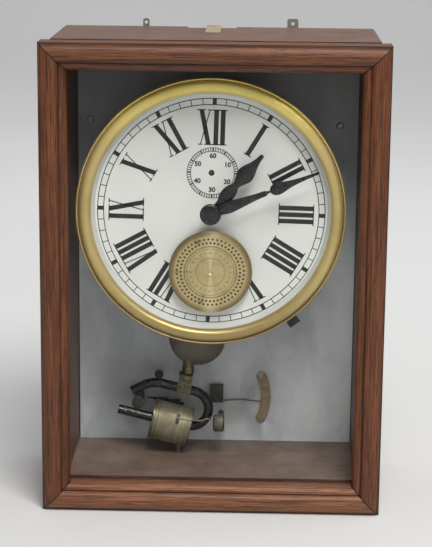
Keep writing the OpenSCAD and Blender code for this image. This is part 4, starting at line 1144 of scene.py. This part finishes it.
    def build(self) -> list[Piece]:
        """Make every printed piece of the dial.

        Returns:
            The pieces, not yet dressed.
        """
        numerals: list[Piece] = []
        for i, letters in enumerate(self.hours):
            numerals += self.numeral_strokes(letters, 30 * i)
        rail = [self.ring(radius, self.line, 0, 240) for radius in self.track]
        rail += self.ticks(self.track, self.tick, 0)
        up = self.seconds_up
        small = [self.ring(radius, self.seconds_line, up, 96) for radius in self.seconds_ring]
        small += self.ticks(self.seconds_ring, self.seconds_tick, up)
        return [
            self.inked("hour_numerals", numerals),
            self.inked("minute_track", rail),
            self.inked("seconds_track", small),
            self.inked("seconds_figures", self.seconds_figures()),
        ]


@dataclass
class DiscFace:
    """Engraving on the programme disc and painted shade: dark discs over its plug holes."""

    centre: Point2 = (ARBOR[0], 252.7 * MM)
    face_y: float = -40.0 * MM
    lift: float = 0.02 * MM
    proud: float = 0.05 * MM
    holes: int = 48
    hole_rings: Point2 = (31.8 * MM, 35.9 * MM)
    mouth: float = 1.2 * MM
    circles: tuple = (15.3 * MM, 25.4 * MM, 27.6 * MM, 28.3 * MM)
    circle_width: float = 0.4 * MM
    index_half: float = 0.3 * MM
    indexes: tuple = ((270.0, 19.6 * MM, 30.0 * MM), (195.0, 25.4 * MM, 29.0 * MM))
    figures_at: float = 21.0 * MM
    figure_size: float = 3.6 * MM

    def at(self, radius: float, angle_deg: float) -> Point3:
        """Place a point on the disc's face.

        Args:
            radius: Distance from its centre.
            angle_deg: Angle clockwise from the top.

        Returns:
            The point.
        """
        a = math.radians(angle_deg)
        x, z = radius * math.sin(a), radius * math.cos(a)
        return (self.centre[0] + x, self.face_y + self.lift, self.centre[1] + z)

    def hole_shade_discs(self) -> Piece:
        """Cover each plug hole with a dark ten-sided disc of painted shade.

        Returns:
            All the discs as one piece.
        """
        dots = []
        step = 360 / self.holes
        for k, ring in enumerate(self.hole_rings):
            middle = Vector(self.at(ring, 90))
            corners = [
                tuple(middle + Vector((math.cos(t), 0, math.sin(t))) * self.mouth)
                for t in (2 * math.pi * n / 10 for n in range(10))
            ]
            dot = Bench.outline("mouth", corners)
            turns = [Bench.about(self.at(0, 0), -(i + k / 2) * step) for i in range(self.holes)]
            dots += Bench.copies(dot, turns)
        piece = Bench.join("plug_hole_shade", dots)
        Bench.thicken(piece, self.proud)
        return piece

    def engraving(self) -> Piece:
        """Add the circles, the two index lines and the hour figures.

        Returns:
            All the lines and figures as one piece.
        """
        marks = []
        for radius in self.circles:
            outer = radius + self.circle_width / 2
            edge = [self.at(outer, 3.75 * i) for i in range(96)]
            marks.append(Bench.ring(edge, self.circle_width))
        for angle, low, high in self.indexes:
            a = math.radians(angle)
            side = Vector((math.cos(a), 0, -math.sin(a))) * self.index_half
            foot, head = Vector(self.at(low, angle)), Vector(self.at(high, angle))
            corners = (foot - side, head - side, head + side, foot + side)
            marks.append(Bench.outline("index", [tuple(corner) for corner in corners]))
        for hour in range(1, 25):
            label = Bench.label(str((hour - 1) % 12 + 1), self.figure_size, 2)
            turn = Matrix.Rotation(-math.radians(15 * hour), 4, "Z")
            spot = Matrix.Translation(Vector(self.at(self.figures_at, 15 * hour)))
            label.data.transform(spot @ Matrix.Rotation(math.pi / 2, 4, "X") @ turn)
            marks.append(label)
        piece = Bench.join("disc_engraving", marks)
        Bench.thicken(piece, self.proud)
        return piece


@dataclass
class Bezel:
    """Spun brass rim: thin lip, groove, broad round band and a flared inner wall."""

    centre: Point2 = ARBOR
    face_y: float = DIAL_Y
    outer: float = 143.2 * MM
    lip: float = 2.3 * MM
    groove: float = 0.8 * MM
    edge: float = 127.0 * MM
    foot: float = 123.9 * MM
    foot_gap: float = 0.1 * MM
    inner_depth: float = 11.5 * MM
    edge_depth: float = 15.5 * MM
    depth: float = 20.0 * MM
    sheet: float = 1.3 * MM
    dial_thick: float = 1.5 * MM
    steps: int = 192

    def crown(self, angle: float, fullness: float) -> float:
        """Give the band's depth at an angle round its arch, lower at the inner edge."""
        base = self.inner_depth if math.cos(angle) < 0 else self.edge_depth
        return base + (self.depth - base) * max(math.sin(angle), 0.0) ** fullness

    def section(self) -> list[Point2]:
        """List the closed section.

        Returns:
            Radius and depth before the dial's face of each corner.
        """
        band_out = self.outer - self.lip - self.groove
        middle, half = (band_out + self.edge) / 2, (band_out - self.edge) / 2
        points = [
            (self.foot, self.foot_gap),
            (self.edge - 0.2 * MM, self.inner_depth - 0.6 * MM),
        ]
        for i in range(33):
            a = math.pi * (1 - i / 32)
            across = math.copysign(abs(math.cos(a)) ** 0.8, math.cos(a))
            points.append((middle + half * across, self.crown(a, 0.8)))
        points.append((band_out + self.groove * 0.5, self.edge_depth - 0.5 * MM))
        roll, lip_middle = self.lip / 2, self.outer - self.lip / 2
        for i in range(9):
            a = math.pi * (1 - i / 8)
            rise = self.edge_depth + 0.4 * MM + 1.4 * MM * math.sin(a)
            points.append((lip_middle + roll * math.cos(a), rise))
        skirt = self.outer - 0.8 * MM
        points += [
            (self.outer, self.edge_depth - 1.0 * MM),
            (skirt, -self.dial_thick),
            (skirt - self.sheet, -self.dial_thick),
            (self.outer - self.sheet, self.edge_depth - self.sheet - 0.6 * MM),
        ]
        for i in range(25):
            a = math.pi * i / 24
            inner = middle + (half - 0.6 * MM) * math.cos(a)
            points.append((inner, self.crown(a, 1.0) - self.sheet))
        points.append((self.foot + self.sheet, self.foot_gap))
        return points

    def build(self) -> Piece:
        """Spin the section once round the arbor's line.

        Returns:
            The rim.
        """
        x, z = self.centre
        points = [(x + r, self.face_y - depth, z) for r, depth in self.section()]
        piece = Bench.outline("bezel_rim", points, filled=False)
        Bench.lathe(piece, (x, 0, z), self.steps)
        Bench.smooth(piece, 40)
        return piece


@dataclass
class Hand:
    """A blackened hand with two swelling lobes and filed edges."""

    name: str
    turn_deg: float
    back_y: float
    half_widths: tuple
    centre: Point2 = ARBOR
    thick: float = 1.0 * MM
    filed: float = 0.45 * MM

    def edge(self) -> list[Point2]:
        """Run a smooth curve through the half widths.

        Returns:
            Half width and distance from the arbor of each corner.
        """
        knots = [(w * MM, d * MM) for d, w in self.half_widths]
        made = []
        for i in range(len(knots) - 1):
            a, b = knots[max(i - 1, 0)], knots[i]
            c, d = knots[i + 1], knots[min(i + 2, len(knots) - 1)]
            for t in (k / 5 for k in range(5)):
                corner = []
                for n in (0, 1):
                    linear = (c[n] - a[n]) * t
                    square = (2 * a[n] - 5 * b[n] + 4 * c[n] - d[n]) * t * t
                    cubic = (3 * b[n] - a[n] - 3 * c[n] + d[n]) * t ** 3
                    corner.append(0.5 * (2 * b[n] + linear + square + cubic))
                made.append(tuple(corner))
        return made + [knots[-1]]

    def build(self) -> Piece:
        """Cut the outline, thicken it towards the front and file its edges.

        Returns:
            The hand.
        """
        right = self.edge()
        both = right + [(-w, d) for w, d in reversed(right)]
        across, up = math.sin(math.radians(self.turn_deg)), math.cos(math.radians(self.turn_deg))
        x, z = self.centre
        points = [
            (x + d * across + w * up, self.back_y, z + d * up - w * across) for w, d in both
        ]
        piece = Bench.outline(self.name, points)
        Bench.thicken(piece, self.thick)
        Bench.soften(piece, self.filed, 3)
        Bench.smooth(piece, 30)
        return piece


# Distance from the arbor and half width there, in millimetres
HOUR_SHAPE = (
    (0, 3.8), (14, 3.8), (20, 6.2), (27, 7.5), (34, 6.4), (40, 3.8), (46, 6.0), (53, 8.9),
    (60, 8.2), (68, 5.0), (76, 2.9), (81, 2.3), (82.6, 1.5), (83.2, 0.3),
)
MINUTE_SHAPE = (
    (0, 4.4), (12, 5.0), (20, 6.3), (28, 5.9), (40, 4.5), (52, 3.3), (62.5, 2.7), (64, 0.9),
    (65.4, 2.1), (66.8, 0.9), (69.5, 4.6), (74, 6.4), (79, 6.3), (86, 4.5), (94, 3.1),
    (106, 2.1), (117, 1.6), (121.4, 1.4), (122.4, 0.4),
)


@dataclass
class Studio:
    """Pale floor and sweep, soft lights and the camera at the photograph's place."""

    camera_place: Point3 = (0.0490, -1.8856, 0.6780)
    down_deg: float = 13.01
    turn_deg: float = -1.45
    roll_deg: float = 0.58
    lens_mm: float = 116.8
    floor_width: float = 44.0
    floor_length: float = 20.0
    floor_front: float = 5.0
    bend_from: float = 3.5
    bend_radius: float = 3.5
    air: float = 0.24
    side: float = 5.0
    key: float = 68.0
    front: float = 3.5
    backdrop: float = 90.0
    warm: Point3 = (1.0, 0.985, 0.96)

    def camera(self) -> None:
        """Aim the camera."""
        data = bpy.data.cameras.new("camera")
        data.lens = self.lens_mm
        data.sensor_width = 36.0
        data.clip_end = 60.0
        eye = bpy.data.objects.new("camera", data)
        bpy.context.scene.collection.objects.link(eye)
        down, turn, roll = (math.radians(v) for v in (self.down_deg, self.turn_deg, self.roll_deg))
        level_step = math.cos(down)
        ahead = Vector((math.sin(turn) * level_step, math.cos(turn) * level_step, -math.sin(down)))
        level = Vector((math.cos(turn), -math.sin(turn), 0.0))
        upright = level.cross(ahead)
        right = math.cos(roll) * level + math.sin(roll) * upright
        top = -math.sin(roll) * level + math.cos(roll) * upright
        basis = Matrix((right, top, -ahead)).transposed()
        eye.rotation_mode = "QUATERNION"
        eye.rotation_quaternion = basis.to_quaternion()
        eye.location = self.camera_place
        bpy.context.scene.camera = eye

    def lamp(
        self, name: str, place: Point3, aim: Point3, size: float, power: float,
        tint: Point3 = (1, 1, 1),
    ) -> None:
        """Hang a square soft light and aim it.

        Args:
            name: Name of the light.
            place: Its middle.
            aim: The point it faces.
            size: Its side.
            power: Its power in watts.
            tint: Its colour.
        """
        data = bpy.data.lights.new(name, "AREA")
        data.size = size
        data.energy = power
        data.color = tint
        lamp = bpy.data.objects.new(name, data)
        bpy.context.scene.collection.objects.link(lamp)
        lamp.location = place
        lamp.rotation_mode = "QUATERNION"
        lamp.rotation_quaternion = (Vector(aim) - Vector(place)).to_track_quat("-Z", "Y")

    def floor(self) -> None:
        """Lay the floor and curve it up far behind the clock."""
        Bench.clear()
        bpy.ops.mesh.primitive_grid_add(
            x_subdivisions=2, y_subdivisions=40, size=1, location=(0, 0, 0)
        )
        sweep = bpy.context.object
        sweep.name = "studio_sweep"
        radius = self.bend_radius
        for vertex in sweep.data.vertices:
            along = (vertex.co.y + 0.5) * self.floor_length - self.floor_front
            rise = max(0.0, along - self.bend_from)
            turn = min(rise / radius, math.pi / 2)
            up = max(0.0, rise - radius * math.pi / 2)
            vertex.co = (
                vertex.co.x * self.floor_width,
                min(along, self.bend_from) + radius * math.sin(turn),
                radius * (1 - math.cos(turn)) + up,
            )
        Bench.smooth(sweep, 60)
        sweep.data.materials.append(Paper("studio_paper").build())

    def build(self) -> None:
        """Set up the floor, the air, the lights and the camera."""
        self.floor()
        world = bpy.data.worlds.new("studio_air")
        bpy.context.scene.world = world
        world.use_nodes = True
        background = world.node_tree.nodes["Background"].inputs
        background["Color"].default_value = (0.96, 0.98, 1.0, 1.0)
        background["Strength"].default_value = self.air
        self.lamp("side", (1.8, 0.3, 1.6), (0.0, -0.1, 0.0), 1.2, self.side, self.warm)
        self.lamp("key", (0.5, -1.6, 2.5), (0.0, 0.0, 0.2), 1.2, self.key, self.warm)
        self.lamp("front", (0.3, -3.0, 0.9), (0.0, 0.0, 0.25), 1.4, self.front)
        self.lamp("backdrop", (0.0, 1.0, 3.4), (0.0, 8.0, 0.6), 3.0, self.backdrop)
        bpy.context.scene.view_settings.view_transform = "Standard"
        self.camera()


class Clock:
    """The dressed clock: finishes of the carried-over nodes and the new pieces."""

    PLAN = {
        "oak_top_rail": ["door_top_rail"],
        "oak_bottom_rail": ["door_bottom_rail"],
        "oak_left_stile": ["door_left_stile"],
        "oak_right_stile": ["door_right_stile"],
        "oak_boards": ["case_top", "glazing_beads"],
        "oak_floor": ["case_bottom"],
        "oak_sides": ["case_left_side", "case_right_side", "back_board"],
        "dull_steel": [
            "wall_hangers", "wood_screws", "slab_screws", "tie_rods", "tie_rod_nuts",
            "door_catch_ball", "suspension_spring", "seconds_arbor", "coil_foot",
        ],
        "dark_plate": ["dial_back_plate"],
        "movement_brass": [
            "hinge_case_leaves", "hinge_door_leaves", "door_catch_barrel", "movement_back_plate",
            "movement_front_plate", "plate_pillars", "mounting_pillars", "centre_arbor",
            "intermediate_arbor", "count_wheel", "cannon_pinion", "motion_wheel", "hour_wheel",
            "programme_wheel", "suspension_cock", "pendulum_rod", "drive_pawl", "back_click",
        ],
        "aged_brass_small": ["rating_nut", "clamp_screws"],
        "blackened_brass": ["terminals"],
        "pale_tab": ["rear_tab"],
        "window_glass": ["door_glass"],
        "honed_marble": ["marble_slab"],
        "dial_enamel": ["dial"],
        "hand_black": ["hand_boss"],
        "magnet_black": ["magnet"],
        "lacquered_bob": ["pendulum_bob"],
        "tarnished_bronze": ["magnet_clamp", "coil_former"],
        "strip_bronze": ["connector_strip"],
        "cast_dark": ["coil_saddle"],
        "sleeve_brass": ["coil_sleeve"],
        "varnished_winding": ["coil_winding"],
        "bare_wire": ["coil_wire"],
        "link_copper": ["link_wire"],
        "turned_disc": ["programme_disc"],
        "spun_brass": ["bezel"],
    }

    def __init__(self, frame: dict) -> None:
        """Keep the frame's nodes and build every finish.
        """
        self.nodes: dict[str, Piece] = frame["nodes"]
        made = [*self.woods(), *self.metals(), *self.others()]
        self.finishes = {finish.name: finish.build() for finish in made}

    def woods(self) -> list[Finish]:
        """List the finishes of the case and the door.

        Returns:
            One finish for each set of boards.
        """
        upright, across = GrainAxis.UPRIGHT, GrainAxis.ACROSS
        door = (
            tuple(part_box("door_bottom_rail")[0]),
            tuple(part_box("door_top_rail")[1]),
        )
        top = (shade(52, 25, 14), shade(98, 53, 31), shade(150, 95, 58))
        # Painted light: the bottom rail's palette is a lighter copy of the rails' wood.
        bottom = (shade(66, 33, 20), shade(128, 76, 48), shade(184, 126, 86))
        floor = (shade(46, 27, 19), shade(84, 54, 38), shade(128, 92, 68))
        return [
            Wood("oak_top_rail", across, (0.31, 0.12, 0.4), *top, door=door),
            Wood("oak_bottom_rail", across, (0.9, 0.43, 0.07), *bottom, door=door),
            Wood("oak_left_stile", upright, (0.2, 0.7, 0.33), corner_shade_strength=0.4, door=door),
            Wood("oak_right_stile", upright, (1.3, 0.25, 0.9), corner_shade_strength=0.4, door=door),
            Wood("oak_boards", across, (2.1, 0.4, 0.6), dusty=0.28),
            Wood("oak_floor", across, (1.7, 0.9, 0.3), *floor, dusty=0.48),
            Wood("oak_sides", upright, (2.9, 1.4, 0.2)),
        ]

    def metals(self) -> list[Finish]:
        """List the stained metals.

        Returns:
            Each with its two colours, roughness, stain, scale, metallic and dust.
        """
        rows = (
            ("movement_brass", (204, 170, 104), (130, 98, 56), 0.32, 0.5, 60.0),
            ("tarnished_bronze", (104, 98, 80), (52, 46, 36), 0.42, 0.85, 260.0, 0.75, 0.2),
            ("strip_bronze", (166, 148, 118), (110, 94, 72), 0.46, 0.6, 240.0, 0.5),
            ("aged_brass_small", (128, 112, 80), (58, 46, 32), 0.36, 0.85, 300.0),
            ("blackened_brass", (92, 90, 80), (46, 42, 36), 0.4, 0.8, 260.0, 0.8),
            ("pale_tab", (196, 184, 150), (150, 132, 100), 0.5, 0.5, 90.0, 0.4),
            ("dull_steel", (158, 158, 156), (110, 106, 100), 0.4, 0.5, 80.0),
            ("lacquered_bob", (98, 88, 78), (60, 52, 45), 0.42, 0.6, 50.0, 0.4, 0.05),
            ("dark_plate", (70, 68, 64), (40, 38, 35), 0.5, 0.6, 90.0, 0.6),
            ("cast_dark", (44, 43, 41), (24, 23, 22), 0.6, 0.6, 90.0, 0.3, 0.15),
            ("bare_wire", (204, 186, 140), (150, 122, 84), 0.36, 0.4, 200.0, 0.9),
            ("varnished_winding", (46, 34, 28), (30, 22, 18), 0.4, 0.5, 200.0, 0.4),
            ("link_copper", (150, 128, 96), (100, 80, 58), 0.42, 0.5, 200.0, 0.8),
        )
        return [
            Metal(name, shade(*bright), shade(*stained), *rest)
            for name, bright, stained, *rest in rows
        ]

    def others(self) -> list[Finish]:
        """List the finishes of the dial, the disc, the hands and the rest.

        Returns:
            One finish for each.
        """
        return [
            BezelBrass("spun_brass", (ARBOR[0], 0.0, ARBOR[1])),
            Enamel("hole_shade", shade(22, 18, 14), shade(40, 32, 22), 0.6),
            Enamel("engraving", shade(84, 66, 42), shade(60, 46, 30), 0.5),
            TurnedBrass("turned_disc", (ARBOR[0], 0.0, 252.7 * MM)),
            Marble("honed_marble"),
            Enamel("dial_enamel"),
            Enamel("dial_ink", shade(24, 24, 26), shade(34, 34, 36), 0.3),
            BlackEnamel("hand_black"),
            BlackEnamel("magnet_black", shade(11, 12, 18), shade(44, 44, 48), 0.24, 0.3, 0.08),
            WindowGlass("window_glass"),
            WoundSleeve("sleeve_brass"),
        ]

    def dress(self, piece: Piece, finish: str) -> None:
        """Give a piece one finish in place of all its slots."""
        piece.data.materials.clear()
        piece.data.materials.append(self.finishes[finish])

    def dress_nodes(self) -> None:
        """Give every carried-over node its finish."""
        for finish, names in self.PLAN.items():
            for name in names:
                self.dress(self.nodes[name], finish)
        log.info("%d nodes dressed", sum(len(names) for names in self.PLAN.values()))

    def add(self, piece: Piece, finish: str, body: str, slot: str) -> None:
        """Dress a new piece and hand it to the frame.

        Args:
            piece: The new piece.
            finish: Name of its finish.
            body: The body it moves with.
            slot: Name of a material slot, not used.
        """
        self.dress(piece, finish)
        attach(piece, body)
        log.info("%s: %d faces", piece.name, len(piece.data.polygons))

    def build(self) -> None:
        """Make and dress every piece."""
        self.dress_nodes()
        for piece in DialFace().build():
            self.add(piece, "dial_ink", "case", "enamel")
        # Painted shade: dark discs stand in for the shade inside the plug holes.
        self.add(DiscFace().hole_shade_discs(), "hole_shade", "programme_group", "disc_brass")
        self.add(DiscFace().engraving(), "engraving", "programme_group", "disc_brass")
        rim = Bezel().build()
        self.add(rim, "spun_brass", "case", "brass")
        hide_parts("bezel")
        hour = Hand("hour_hand_blade", 40.9, -46.5 * MM, HOUR_SHAPE).build()
        self.add(hour, "hand_black", "hour_group", "black_steel")
        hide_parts("hour_hand")
        minute = Hand("minute_hand_blade", 67.9, -52.5 * MM, MINUTE_SHAPE).build()
        self.add(minute, "hand_black", "minute_group", "black_steel")
        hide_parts("minute_hand")


def main() -> None:
    """Load the frame, dress the clock and set up the studio."""
    logging.basicConfig(level=logging.INFO, format="%(name)s: %(message)s")
    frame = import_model()
    Clock(frame).build()
    Studio().build()


if __name__ == "__main__":
    main()
